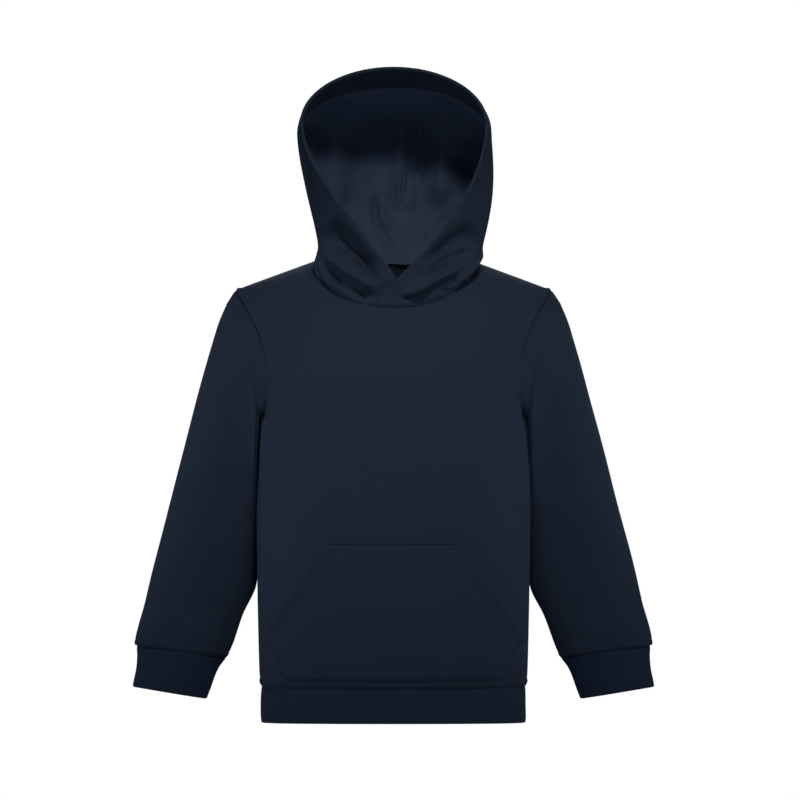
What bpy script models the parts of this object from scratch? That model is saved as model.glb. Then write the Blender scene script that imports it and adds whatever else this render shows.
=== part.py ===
"""A toddler's pull-over hoodie, hollow and upright, as its wearer's shoulders hold it up.

Metres, +Z up, the front faces -Y, and +X is the wearer's left. The origin lies between the two
points where the shoulder seams meet the neck seam. Each cut piece is a closed wall of cloth: a grid
of outer points worked out from the sizes below, and the same grid moved inward by the cloth's
thickness. Neighbours stop a seam gap apart.
"""
import math
from collections import namedtuple

import bmesh
import bpy
import numpy as np

# Cloth
FLEECE = 0.0018          # wall of the brushed sweatshirt cloth
RIB = 0.0030             # wall of the folded rib of band and cuffs
HEM_EXTRA = 0.0012       # more wall where the hood's face edge is turned in
SEAM_GAP = 0.0003        # space between two pieces at a seam
HOOD_GAP = 0.0005        # space between the neck seam's two sides
ARMHOLE_GAP = 0.0006     # and between the armhole's, whose walls twist round its corner
MOST_MITRE = 0.8         # a slanted edge is made up to the cloth's thickness over this
NAVY = (0.0135, 0.0185, 0.0340, 1.0)

# Torso: a stack of level rings below the armpit
TorsoRing = namedtuple("TorsoRing", "height half_width front_depth back_depth")
TORSO = (
    TorsoRing(-0.3915, 0.1220, 0.0735, 0.0750),
    TorsoRing(-0.3840, 0.1231, 0.0765, 0.0770),
    TorsoRing(-0.3600, 0.1240, 0.0790, 0.0795),
    TorsoRing(-0.3000, 0.1251, 0.0825, 0.0820),
    TorsoRing(-0.2200, 0.1258, 0.0860, 0.0845),
    TorsoRing(-0.1450, 0.1240, 0.0865, 0.0855),
)
RING_POWER = 2.4         # superellipse power of the rings: 2 is an ellipse, more is squarer
WAIST_DIP = 0.0026       # how far the waist seam dips at the middle of the front
LOWER_ROWS = 7
LOWER_CROWDING = 1.25    # more than 1 sets the rows closer near the waist seam
UPPER_ROWS = 12
COLUMN_TURN = 3.0        # power by which columns move from their armpit places to those at the top
PROBE = 0.001            # step for slopes, as a share of a height or width

# Chest and shoulders, above the armpit
ARMPIT_Z = -0.1450
SHOULDER_TIP_X = 0.1458
SHOULDER_TIP_Z = -0.0276
NECK_POINT_X = 0.0704    # where shoulder seam and neck seam meet, at height 0
SHOULDER_ROUND = 2.2     # power of the arch from the chest over to the shoulder seam
ARMHOLE_SCOOP = 0.0151   # how far the armhole is cut into the panel
SCOOP_LEVEL = 0.42       # the level at which it is deepest
SCOOP_LOW_POWER = 0.94
SCOOP_HIGH_POWER = 1.30
SHOULDER_COLUMNS = 8     # grid columns from the neck point out to the armhole

# Neck seam
NECK_CENTRE_Y = -0.012
FRONT_NECK_LEVEL = 0.646
BACK_NECK_LEVEL = 0.900
NECK_POWER = 2.3
NECK_COLUMNS = 8         # grid columns from the middle to the neck point; the hood's halves cross
                         # at the throat by the first of them

# Waist band
BAND_HALF_WIDTH = 0.1216
BAND_FRONT_DEPTH = 0.0730
BAND_BACK_DEPTH = 0.0745
BAND_BOTTOM_Z = -0.4254
BAND_ROWS = 3
BAND_CORNERS = 60

# Pocket: half widths of the patch at its own heights
PocketRow = namedtuple("PocketRow", "height half_width")
POCKET = (
    PocketRow(-0.3900, 0.0950),
    PocketRow(-0.3636, 0.1052),
    PocketRow(-0.3464, 0.1155),
    PocketRow(-0.2592, 0.0600),
)
POCKET_LIFT = 0.0009     # space between pocket and front
POCKET_SWELL = 0.0018    # how much more it stands off between its sewn edges
POCKET_MIDDLE_SWELL = 0.35   # share of that which it has along its middle
POCKET_COLUMNS = 20
POCKET_ROWS_BETWEEN = 4

# Sleeve sections: the two edges seen from the front, the depth front to back, how far back the
# middle lies, and how far the section has turned from the armhole's shape into a plain tube
SleeveRing = namedtuple("SleeveRing", "outer_x outer_z inner_x inner_z depth back tube")
SLEEVE = (
    SleeveRing(0.1535, -0.0396, 0.1248, -0.1475, 0.092, 0.001, 0.25),
    SleeveRing(0.1604, -0.0560, 0.1249, -0.1530, 0.096, 0.003, 0.50),
    SleeveRing(0.1670, -0.0780, 0.1249, -0.1630, 0.096, 0.007, 0.75),
    SleeveRing(0.1747, -0.1050, 0.1247, -0.1770, 0.092, 0.012, 1.00),
    SleeveRing(0.1828, -0.1350, 0.1245, -0.1950, 0.086, 0.018, 1.00),
    SleeveRing(0.1938, -0.1760, 0.1243, -0.2240, 0.076, 0.024, 1.00),
    SleeveRing(0.2057, -0.2210, 0.1241, -0.2580, 0.064, 0.027, 1.00),
    SleeveRing(0.2191, -0.2740, 0.1255, -0.2970, 0.048, 0.027, 1.00),
    SleeveRing(0.2290, -0.3140, 0.1392, -0.3280, 0.039, 0.025, 1.00),
    SleeveRing(0.2382, -0.3480, 0.1510, -0.3605, 0.036, 0.022, 1.00),
    SleeveRing(0.2386, -0.3545, 0.1535, -0.3660, 0.032, 0.022, 1.00),
)
SLEEVE_TUCK = 0.010      # how much further back the sleeve's inner side lies below the armpit
SLEEVE_TUCK_Z = -0.180
SLEEVE_TUCK_REACH = 0.018
SLEEVE_POWER = 2.15
SHARED_FROM = (-0.2, 0.4)   # sleeve and body share an edge direction as their normals come to agree
SLEEVE_RINGS = 19
CUFF = (
    SleeveRing(0.2366, -0.3560, 0.1545, -0.3667, 0.031, 0.022, 1.00),
    SleeveRing(0.2362, -0.3640, 0.1605, -0.3745, 0.029, 0.022, 1.00),
    SleeveRing(0.2368, -0.3760, 0.1662, -0.3865, 0.027, 0.021, 1.00),
    SleeveRing(0.2400, -0.3926, 0.1724, -0.4039, 0.027, 0.021, 1.00),
)
CUFF_RINGS = 5
CUFF_CORNERS = 28

# Hood: hoops from the neck seam up to the crown seam, the first along the face edge, the last along
# the lower back seam. foot is the share of the way round the neck seam from throat to nape.
Hoop = namedtuple("Hoop", "foot wide wide_back wide_z top_back top_z seam_share rise lag bulge")
HOOD = (
    Hoop(0.00, 0.0862, -0.066, 0.124, -0.060, 0.1765, 0.203, 1.80, 1.33, 0.008),
    Hoop(0.13, 0.0885, -0.046, 0.119, -0.038, 0.1650, 0.209, 1.85, 1.10, 0.005),
    Hoop(0.27, 0.0893, -0.018, 0.112, -0.011, 0.1525, 0.218, 1.95, 1.00, 0.002),
    Hoop(0.43, 0.0875, 0.013, 0.105, 0.019, 0.1410, 0.223, 2.00, 1.00, 0.000),
    Hoop(0.58, 0.0800, 0.041, 0.094, 0.049, 0.1275, 0.225, 2.00, 1.00, -0.004),
    Hoop(0.72, 0.0630, 0.062, 0.080, 0.071, 0.1080, 0.200, 2.00, 1.00, -0.006),
    Hoop(0.86, 0.0360, 0.073, 0.064, 0.079, 0.0850, 0.120, 2.00, 1.00, -0.006),
    Hoop(1.00, 0.0000, 0.077, 0.050, 0.080, 0.0640, 0.000, 2.00, 1.00, -0.006),
)
HOOD_FOOT_STEPS = 11     # grid steps from the foot of a hoop to its widest point
HOOD_CROWN_STEPS = 7     # and on to the crown seam
HOOD_FOOT_CROWDING = 1.35   # more than 1 sets the grid closer near the neck seam
HOOD_SWAY = 0.0070       # how far the hood's lower part leans to the wearer's left
HOOD_SWAY_Z = 0.030
HOOD_SWAY_REACH = 0.060
SWAY_STARTS = (0.003, 0.020)    # heights over the neck seam between which the lean comes in
ROLL_HEIGHT = 0.0045     # the soft roll of cloth that lies just above the neck seam
ROLL_RISE = 0.015        # its height above the seam
ROLL_REACH = 0.009
ROLL_STARTS = (0.12, 0.24)      # shares of the neck seam, throat to nape, where it comes in
ROLL_ENDS = (0.62, 0.42)        # and fades out
THROAT_WIDTH = (0.034, 0.016)   # distances from the middle within which the halves cross over
THROAT_DEPTH = (-0.020, -0.050)
HEM_WIDTH = 0.027        # turned-in face edge
HEM_FADE = 0.004
HOOD_CENTRE = (0.0, 0.010, 0.060)
BACK_FLATNESS = (1.0, 1.0, 0.5) # the back's walls face away from the centre, less so up and down
NARROW_HOOP = 0.030      # hoops narrower than this rise evenly instead of in an arc
BACK_FAN = 0.70          # share of the neck seam past which the hoops fan into the back seam


# --------------------------------------------------------------------------- curves and tables
def smooth_read(knots, values, at):
    """Read a smooth curve through the knots, without overshoot, at the given places."""
    knots = np.asarray(knots, float)
    values = np.asarray(values, float)
    at = np.clip(np.asarray(at, float), knots[0], knots[-1])
    steps = np.diff(knots)
    slopes = np.diff(values) / steps
    tangents = np.empty_like(values)
    tangents[0] = slopes[0]
    tangents[-1] = slopes[-1]
    for i in range(1, len(knots) - 1):
        before, after = slopes[i - 1], slopes[i]
        tangents[i] = 0.0 if before * after <= 0 else 2.0 * before * after / (before + after)
    i = np.clip(np.searchsorted(knots, at, side="right") - 1, 0, len(steps) - 1)
    t = (at - knots[i]) / steps[i]
    return ((2 * t**3 - 3 * t**2 + 1) * values[i] + (t**3 - 2 * t**2 + t) * steps[i] * tangents[i]
            + (3 * t**2 - 2 * t**3) * values[i + 1] + (t**3 - t**2) * steps[i] * tangents[i + 1])


def read_table(rows, key, knots, at):
    """Read one named column of a table as a smooth curve."""
    return smooth_read(knots, [getattr(row, key) for row in rows], at)


def smoothstep(low, high, value):
    t = np.clip((value - low) / (high - low), 0.0, 1.0)
    return t * t * (3.0 - 2.0 * t)


def unit(vectors):
    lengths = np.linalg.norm(vectors, axis=-1, keepdims=True)
    return vectors / np.maximum(lengths, 1e-12)


def rounded(share, power):
    """The other leg of a superellipse whose first leg is the given share."""
    return np.maximum(1.0 - np.abs(share) ** power, 0.0) ** (1.0 / power)


def grid_normals(points, closed=False):
    """Normals of a grid of points; closed wraps the columns round."""
    along = np.gradient(points, axis=0)
    if closed:
        across = np.roll(points, -1, axis=1) - np.roll(points, 1, axis=1)
    else:
        across = np.gradient(points, axis=1)
    return unit(np.cross(along, across))


# --------------------------------------------------------------------------- solids
def cloth_material(name, roughness):
    material = bpy.data.materials.new(name)
    material.use_nodes = True
    shader = material.node_tree.nodes["Principled BSDF"]
    shader.inputs["Base Color"].default_value = NAVY
    shader.inputs["Roughness"].default_value = roughness
    shader.inputs["Metallic"].default_value = 0.0
    return material


def split_quad(corners, a, b, c, d):
    """Two triangles over the quad a, b, c, d, split along its shorter diagonal."""
    if np.linalg.norm(corners[a] - corners[c]) < np.linalg.norm(corners[b] - corners[d]):
        return [(a, b, c), (a, c, d)]
    return [(a, b, d), (b, c, d)]


def grid_faces(corners, rows, cols, start, closed):
    """Triangles over a grid whose points begin at start among the corners."""
    faces = []
    for r in range(rows - 1):
        for c in range(cols if closed else cols - 1):
            here = start + r * cols + c
            after = start + r * cols + (c + 1) % cols
            faces += split_quad(corners, here, after, after + cols, here + cols)
    return faces


def boundary_loops(rows, cols, closed):
    """The open edges of a grid, as lists of vertex numbers that each close on themselves."""
    if closed:
        return [list(range(cols)), [(rows - 1) * cols + c for c in reversed(range(cols))]]
    bottom = list(range(cols))
    right = [r * cols + cols - 1 for r in range(1, rows)]
    top = [(rows - 1) * cols + c for c in reversed(range(cols - 1))]
    left = [r * cols for r in reversed(range(1, rows - 1))]
    return [bottom + right + top + left]


def wall_solid(name, outer, inward, thickness, closed=False, roughness=0.9):
    """Turn a grid of outer points into a closed wall of cloth."""
    rows, cols = outer.shape[:2]
    inner = outer + inward * np.asarray(thickness)[..., None]
    count = rows * cols
    corners = np.vstack([outer.reshape(-1, 3), inner.reshape(-1, 3)])
    faces = grid_faces(corners, rows, cols, 0, closed)
    faces += [tuple(reversed(face)) for face in grid_faces(corners, rows, cols, count, closed)]
    for loop in boundary_loops(rows, cols, closed):
        for here, after in zip(loop, loop[1:] + loop[:1]):
            faces += split_quad(corners, after, here, here + count, after + count)
    mesh = bpy.data.meshes.new(name)
    mesh.from_pydata([tuple(corner) for corner in corners], [], faces)
    work = bmesh.new()
    work.from_mesh(mesh)
    bmesh.ops.recalc_face_normals(work, faces=work.faces)
    if work.calc_volume(signed=True) < 0:
        bmesh.ops.reverse_faces(work, faces=work.faces)
    work.to_mesh(mesh)
    work.free()
    mesh.shade_smooth()
    mesh.set_sharp_from_angle(angle=math.radians(50))
    mesh.materials.append(cloth_material(name + "_cloth", roughness))
    solid = bpy.data.objects.new(name, mesh)
    bpy.context.scene.collection.objects.link(solid)
    return solid


# --------------------------------------------------------------------------- torso form
def torso_size(key, z):
    return read_table(TORSO, key, [ring.height for ring in TORSO], z)


def body_depth_key(facing):
    return "front_depth" if facing < 0 else "back_depth"


def shoulder_line(x):
    """Height of the shoulder seam at x; across the neck it goes on as a low arch."""
    slope = -SHOULDER_TIP_Z / (SHOULDER_TIP_X - NECK_POINT_X)
    x = np.abs(x)
    arch = slope * (NECK_POINT_X**2 - x**2) / (2.0 * NECK_POINT_X)
    return np.where(x < NECK_POINT_X, arch, -slope * (x - NECK_POINT_X))


def level_height(x, level):
    """Height of a chest level, from 0 at the armpit to 1 along the shoulder seam."""
    return ARMPIT_Z + (shoulder_line(x) - ARMPIT_Z) * level


def chest_half_width(level):
    armpit = torso_size("half_width", ARMPIT_Z)
    return armpit + (SHOULDER_TIP_X - armpit) * level


def armhole_x(level):
    level = np.clip(level, 0.0, 1.0)
    low = (level / SCOOP_LEVEL) ** SCOOP_LOW_POWER
    high = ((1.0 - level) / (1.0 - SCOOP_LEVEL)) ** SCOOP_HIGH_POWER
    return chest_half_width(level) - ARMHOLE_SCOOP * low * high


def lower_form(share, z, facing):
    """Point of the torso below the armpit, at a share of its half width."""
    y = facing * torso_size(body_depth_key(facing), z) * rounded(share, RING_POWER)
    return np.stack([torso_size("half_width", z) * share, y, z], axis=-1)


def chest_form(share, level, facing):
    """Point of the torso above the armpit, at a share of its width between the armholes."""
    x = armhole_x(level) * share
    depth = torso_size(body_depth_key(facing), ARMPIT_Z) * rounded(level, SHOULDER_ROUND)
    y = facing * depth * rounded(np.minimum(np.abs(x) / chest_half_width(level), 1.0), RING_POWER)
    return np.stack([x, y, level_height(x, level)], axis=-1)


def form_normals(form, share, height, lowest, highest, facing):
    """Outward normals of a torso form, from its slopes across and up."""
    edge = 1.0 - 0.1 * PROBE
    reach = PROBE * (highest - lowest)
    top = highest - 0.1 * reach
    across = form(np.clip(share + PROBE, -edge, edge), height, facing) \
        - form(np.clip(share - PROBE, -edge, edge), height, facing)
    upward = form(share, np.clip(height + reach, lowest, top), facing) \
        - form(share, np.clip(height - reach, lowest, top), facing)
    return unit(np.cross(across, upward)) * -facing


def neck_level(x, facing):
    """Level at which the neck seam cuts the panel at x."""
    centre = FRONT_NECK_LEVEL if facing < 0 else BACK_NECK_LEVEL
    share = np.minimum(np.abs(x) / NECK_POINT_X, 1.0)
    return 1.0 - (1.0 - centre) * np.sqrt(np.maximum(1.0 - share**NECK_POWER, 0.0))


def column_shares():
    """Shares of the half width of each column, centre to side: at the armpit and at the top."""
    neck = NECK_POINT_X / SHOULDER_TIP_X
    inside = np.linspace(0.0, math.pi / 2.0, NECK_COLUMNS + 1)[:-1]
    first = math.asin(neck ** (RING_POWER / 2.0))
    outside = np.linspace(first, math.pi / 2.0, SHOULDER_COLUMNS + 1)
    top = np.concatenate([neck * np.sin(inside) ** (2.0 / NECK_POWER),
                          np.sin(outside) ** (2.0 / RING_POWER)])
    even = np.linspace(0.0, math.pi / 2.0, NECK_COLUMNS + SHOULDER_COLUMNS + 1)
    low = np.sin(even) ** (2.0 / RING_POWER)
    low[-1] = top[-1] = 1.0
    return np.concatenate([-low[:0:-1], low]), np.concatenate([-top[:0:-1], top])


def top_level(share, facing):
    """Highest level of a column: the neck seam inside the neck points, the shoulder seam outside."""
    if share >= NECK_POINT_X / SHOULDER_TIP_X - 1e-9:
        return 1.0
    low, high = 0.3, 1.0
    for _ in range(50):
        middle = 0.5 * (low + high)
        if middle < neck_level(armhole_x(middle) * share, facing):
            low = middle
        else:
            high = middle
    return low


def waist_z(y):
    """Height of the waist seam, which dips in front."""
    depth = np.maximum(-np.asarray(y), 0.0) / TORSO[0].front_depth
    return TORSO[0].height - WAIST_DIP * np.minimum(depth, 1.0) ** 2


def body_grid(facing):
    """Outer points of the front (facing -1) or back (+1), rows from the waist seam up, and normals."""
    low_shares, top_shares = column_shares()
    tops = np.array([top_level(abs(share), facing) for share in top_shares])
    rows, normals = [], []
    waist = TORSO[0].height
    for k in range(LOWER_ROWS):
        t = k / LOWER_ROWS
        z = np.full(len(low_shares), waist + (ARMPIT_Z - waist) * t**LOWER_CROWDING)
        row = lower_form(low_shares, z, facing)
        normals.append(form_normals(lower_form, low_shares, z, waist, ARMPIT_Z, facing))
        row[:, 2] += (waist_z(row[:, 1]) - waist) * (1.0 - t) ** 2
        rows.append(row)
    for k in range(UPPER_ROWS + 1):
        rise = 0.5 - 0.5 * math.cos(math.pi * k / UPPER_ROWS)
        shares = top_shares + (low_shares - top_shares) * (1.0 - rise**COLUMN_TURN)
        level = tops * rise
        rows.append(chest_form(shares, level, facing))
        normals.append(form_normals(chest_form, shares, level, 0.0, 1.0, facing))
    grid = np.array(rows)
    grid[..., 1] += facing * 0.5 * SEAM_GAP
    return grid, np.array(normals)


def neck_inward(points):
    """Level direction into the neck for points of the neck seam."""
    return -unit((points - np.array([0.0, NECK_CENTRE_Y, 0.0])) * np.array([1.0, 1.0, 0.0]))


def body_inward(grid, normals, facing, arm_inward):
    """Inward direction at each point of a body panel, shared with the neighbours along the seams."""
    inward = -normals
    side = np.sign(grid[0, -1, 0])
    for column, sign in ((0, -side), (-1, side)):
        inward[:LOWER_ROWS + 1, column] = (-sign, 0.0, 0.0)
        for k in range(1, UPPER_ROWS):
            inward[LOWER_ROWS + k, column] = arm_inward[k] * np.array([sign, facing, 1.0])
    slope = -SHOULDER_TIP_Z / (SHOULDER_TIP_X - NECK_POINT_X)
    for column in range(grid.shape[1]):
        x = grid[-1, column, 0]
        if abs(x) >= NECK_POINT_X - 1e-6:
            inward[-1, column] = -unit(np.array([slope * np.sign(x), 0.0, 1.0]))
    inward[0, :, 2] = 0.0
    inward[0] = unit(inward[0])
    reach = np.clip(-(inward * normals).sum(axis=-1), MOST_MITRE, 1.0)
    return inward, FLEECE / reach


# --------------------------------------------------------------------------- sleeves and cuffs
def armhole_ring():
    """The wearer's left armhole: down its front from the shoulder tip, and up its back."""
    front = body_grid(-1)[0][LOWER_ROWS:, -1]
    back = body_grid(1)[0][LOWER_ROWS:, -1]
    return np.vstack([front[::-1], back[1:-1]])


def section_points(outer, inner, depth, back, tube, corners, shape=None, power=SLEEVE_POWER):
    """Points of one sleeve section; shape holds the armhole's own form in the same terms."""
    angle = 2.0 * math.pi * np.arange(corners) / corners
    reach = np.sign(np.cos(angle)) * np.abs(np.cos(angle)) ** (2.0 / power)
    side = -np.sign(np.sin(angle)) * np.abs(np.sin(angle)) ** (2.0 / power)
    lift = np.zeros(corners)
    if shape is not None:
        reach = tube * reach + (1.0 - tube) * shape[0]
        side = tube * side + (1.0 - tube) * shape[1]
        lift = (1.0 - tube) * shape[2]
    middle = 0.5 * (outer + inner)
    half = 0.5 * (outer - inner)
    axis = unit(np.array([-half[2], 0.0, half[0]]))
    points = middle + reach[:, None] * half + lift[:, None] * axis
    tuck = SLEEVE_TUCK * math.exp(-((inner[2] - SLEEVE_TUCK_Z) / SLEEVE_TUCK_REACH) ** 2)
    points[:, 1] += back + 0.5 * depth * side + tuck * (0.5 - 0.5 * reach) ** 2
    return points


def section_knots(rows):
    """Distance of each section's middle from the first, along the sleeve."""
    middles = np.array([[0.5 * (r.outer_x + r.inner_x), 0.5 * (r.outer_z + r.inner_z)] for r in rows])
    return np.concatenate([[0.0], np.cumsum(np.linalg.norm(np.diff(middles, axis=0), axis=1))])


def lofted(rows, rings, corners, shape=None):
    """Sections read smoothly between the rows of a sleeve table."""
    knots = section_knots(rows)
    places = np.linspace(0.0, knots[-1], rings)
    values = {key: read_table(rows, key, knots, places) for key in SleeveRing._fields}
    loops = []
    for k in range(rings):
        outer = np.array([values["outer_x"][k], 0.0, values["outer_z"][k]])
        inner = np.array([values["inner_x"][k], 0.0, values["inner_z"][k]])
        loops.append(section_points(outer, inner, values["depth"][k], values["back"][k],
                                    values["tube"][k], corners, shape))
    return np.array(loops)


def armhole_shape(ring):
    """The armhole ring in a section's own terms: reach, side and lift off its plane."""
    outer, inner = ring[0], ring[UPPER_ROWS]
    half = 0.5 * (outer - inner)
    axis = unit(np.array([-half[2], 0.0, half[0]]))
    offset = ring - 0.5 * (outer + inner)
    depth = ring[:, 1].max()
    return offset @ half / (half @ half), ring[:, 1] / depth, offset @ axis


def sleeve_grid():
    ring = armhole_ring()
    first = ring + np.array([ARMHOLE_GAP, 0.0, 0.0])
    rest = lofted(SLEEVE, SLEEVE_RINGS, len(ring), armhole_shape(ring))
    return np.concatenate([first[None], rest])


def tube_inward(grid):
    """Inward directions of a tube; the end sections keep theirs in their own plane."""
    normals = grid_normals(grid, closed=True)
    centre = grid.mean(axis=1, keepdims=True)
    if ((grid - centre) * normals).sum() < 0:
        normals = -normals
    inward = -normals
    for end, neighbour in ((0, 1), (-1, -2)):
        axis = unit(grid[end].mean(axis=0) - grid[neighbour].mean(axis=0))
        inward[end] = unit(inward[end] - (inward[end] @ axis)[:, None] * axis)
    return inward, normals


def armhole_inward(sleeve_normals):
    """Shared inward directions along the armhole, for the sleeve and for the front's edge."""
    body = body_grid(-1)[1][LOWER_ROWS:, -1][::-1]
    sleeve = sleeve_normals[0, :UPPER_ROWS + 1]
    agree = smoothstep(*SHARED_FROM, (body * sleeve).sum(axis=-1))[:, None]
    for_body = -unit(body + agree * sleeve)
    for_sleeve = -unit(sleeve + agree * body)
    slope = -SHOULDER_TIP_Z / (SHOULDER_TIP_X - NECK_POINT_X)
    for_sleeve[0] = for_body[0] = -unit(np.array([slope, 0.0, 1.0]))
    for shared in (for_body, for_sleeve):
        shared[1:-1] = unit(shared[:-2] + 2.0 * shared[1:-1] + shared[2:])
    return for_body[::-1], for_sleeve


def make_sleeves():
    grid = sleeve_grid()
    inward, normals = tube_inward(grid)
    for_body, for_sleeve = armhole_inward(normals)
    inward[0, :UPPER_ROWS + 1] = for_sleeve
    mirrored_half = for_sleeve[1:UPPER_ROWS][::-1] * np.array([1.0, -1.0, 1.0])
    inward[0, UPPER_ROWS + 1:] = mirrored_half
    inward[0, 0, 1] = inward[0, UPPER_ROWS, 1] = 0.0
    inward[0] = unit(inward[0])
    thickness = np.full(grid.shape[:2], FLEECE)
    for name, sign in (("sleeve_left", 1.0), ("sleeve_right", -1.0)):
        turned = np.array([sign, 1.0, 1.0])
        wall_solid(name, grid * turned, inward * turned, thickness, closed=True)
    return for_body * np.array([1.0, -1.0, 1.0])


def make_cuffs():
    grid = lofted(CUFF, CUFF_RINGS, CUFF_CORNERS)
    inward, _ = tube_inward(grid)
    thickness = np.full(grid.shape[:2], RIB)
    for name, sign in (("cuff_left", 1.0), ("cuff_right", -1.0)):
        turned = np.array([sign, 1.0, 1.0])
        wall_solid(name, grid * turned, inward * turned, thickness, closed=True, roughness=0.95)


# --------------------------------------------------------------------------- body pieces
def make_body(arm_inward):
    """Front and back; returns their neck seam edges, wearer's right to left."""
    edges = []
    for name, facing in (("front", -1), ("back", 1)):
        grid, normals = body_grid(facing)
        inward, thickness = body_inward(grid, normals, facing, arm_inward)
        wall_solid(name, grid, inward, thickness)
        inside = np.abs(grid[-1, :, 0]) <= NECK_POINT_X + 1e-6
        edges.append(grid[-1, inside])
    return edges


def make_band():
    angle = 2.0 * math.pi * np.arange(BAND_CORNERS) / BAND_CORNERS
    x = BAND_HALF_WIDTH * np.sign(np.sin(angle)) * np.abs(np.sin(angle)) ** (2.0 / RING_POWER)
    depth = np.where(np.cos(angle) > 0, BAND_FRONT_DEPTH, BAND_BACK_DEPTH)
    y = -depth * np.sign(np.cos(angle)) * np.abs(np.cos(angle)) ** (2.0 / RING_POWER)
    top = waist_z(y) - SEAM_GAP
    rows = [np.stack([x, y, top + (BAND_BOTTOM_Z - top) * k / BAND_ROWS], axis=-1)
            for k in range(BAND_ROWS + 1)]
    grid = np.array(rows)
    normals = grid_normals(grid, closed=True)
    if (grid * normals)[0, :, :2].sum() < 0:
        normals = -normals
    inward = -unit(normals * np.array([1.0, 1.0, 0.0]))
    wall_solid("hem_band", grid, inward, np.full(grid.shape[:2], RIB), closed=True, roughness=0.95)


def make_pocket():
    knots = [row.height for row in POCKET]
    widths = [row.half_width for row in POCKET]
    heights = [knots[0]]
    for low, high in zip(knots, knots[1:]):
        steps = POCKET_ROWS_BETWEEN if high - low > 0.05 else POCKET_ROWS_BETWEEN // 2
        heights += list(np.linspace(low, high, steps + 1)[1:])
    heights = np.array(heights)
    across = np.linspace(-1.0, 1.0, POCKET_COLUMNS + 1)
    x = np.interp(heights, knots, widths)[:, None] * across[None]
    z = np.repeat(heights[:, None], len(across), axis=1)
    share = x / torso_size("half_width", z)
    points = lower_form(share, z, -1)
    normals = form_normals(lower_form, share, z, TORSO[0].height, ARMPIT_Z, -1)
    climb = (heights - heights[0]) / (heights[-1] - heights[0])
    bulge = POCKET_MIDDLE_SWELL + (1.0 - POCKET_MIDDLE_SWELL) * across[None] ** 2
    swell = np.sin(np.pi * climb)[:, None] * bulge
    lift = POCKET_LIFT + FLEECE + POCKET_SWELL * swell
    grid = points + normals * lift[..., None]
    wall_solid("pocket", grid, -normals, np.full(grid.shape[:2], FLEECE))


# --------------------------------------------------------------------------- hood
def neck_path(edges, sign):
    """Neck seam points of one hood half, from past the throat's centre round to the nape."""
    front, back = edges
    centre = len(front) // 2
    ahead = front[centre - 1:] if sign > 0 else front[centre + 1::-1]
    behind = back[::-1][:centre + 1] if sign > 0 else back[:centre + 1]
    return np.vstack([ahead, behind[1:]])


def hood_half_points(path, sign):
    """Outer points of one hood half: a hoop for each neck point, from its foot to the seam."""
    along = np.concatenate([[0.0], np.cumsum(np.linalg.norm(np.diff(path, axis=0), axis=1))])
    share = along / along[-1]
    knots = [hoop.foot for hoop in HOOD]
    size = {key: read_table(HOOD, key, knots, share) for key in Hoop._fields}
    hoops = []
    for k, foot in enumerate(path):
        wide, wide_y, wide_z = size["wide"][k], size["wide_back"][k], size["wide_z"][k]
        t = np.linspace(0.0, 1.0, HOOD_FOOT_STEPS + 1) ** HOOD_FOOT_CROWDING
        out = (1.0 - (1.0 - t) ** size["rise"][k]) ** size["lag"][k]
        low_x = foot[0] + (sign * wide - foot[0]) * out
        low_y = foot[1] + (wide_y - foot[1]) * smoothstep(0.0, 1.0, t) \
            - size["bulge"][k] * np.sin(np.pi * t)
        low_z = foot[2] + HOOD_GAP + (wide_z - foot[2] - HOOD_GAP) * t
        end = math.acos(sign * size["seam_share"][k])
        turn = np.linspace(0.0, end, HOOD_CROWN_STEPS + 1)[1:]
        high_x = sign * wide * np.cos(turn)
        narrow = smoothstep(NARROW_HOOP, 0.0, wide)
        climb = np.sin(turn) * (1.0 - narrow) + turn / end * narrow
        high_y = wide_y + (size["top_back"][k] - wide_y) * climb**2
        high_z = wide_z + (size["top_z"][k] - wide_z) * climb
        hoops.append(np.stack([np.concatenate([low_x, high_x]), np.concatenate([low_y, high_y]),
                               np.concatenate([low_z, high_z])], axis=-1))
    grid = np.array(hoops)
    sway = np.exp(-((grid[..., 2] - HOOD_SWAY_Z) / HOOD_SWAY_REACH) ** 2)
    height = np.linalg.norm(grid - grid[:, :1], axis=-1)
    grid[..., 0] += HOOD_SWAY * sway * smoothstep(*SWAY_STARTS, height)
    roll = ROLL_HEIGHT * np.exp(-((height - ROLL_RISE) / ROLL_REACH) ** 2)
    around = smoothstep(*ROLL_STARTS, share) * smoothstep(*ROLL_ENDS, share)
    return grid - neck_inward(grid) * (roll * around[:, None])[..., None]


def stack_at_throat(grid, sign, wall):
    """Move the half that lies on top forward and the other one back, where they cross."""
    crossing = smoothstep(*THROAT_WIDTH, sign * grid[..., 0]) * smoothstep(*THROAT_DEPTH, grid[..., 1])
    step = 0.5 * (wall + SEAM_GAP)
    grid[..., 1] -= sign * step * crossing
    return grid


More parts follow.
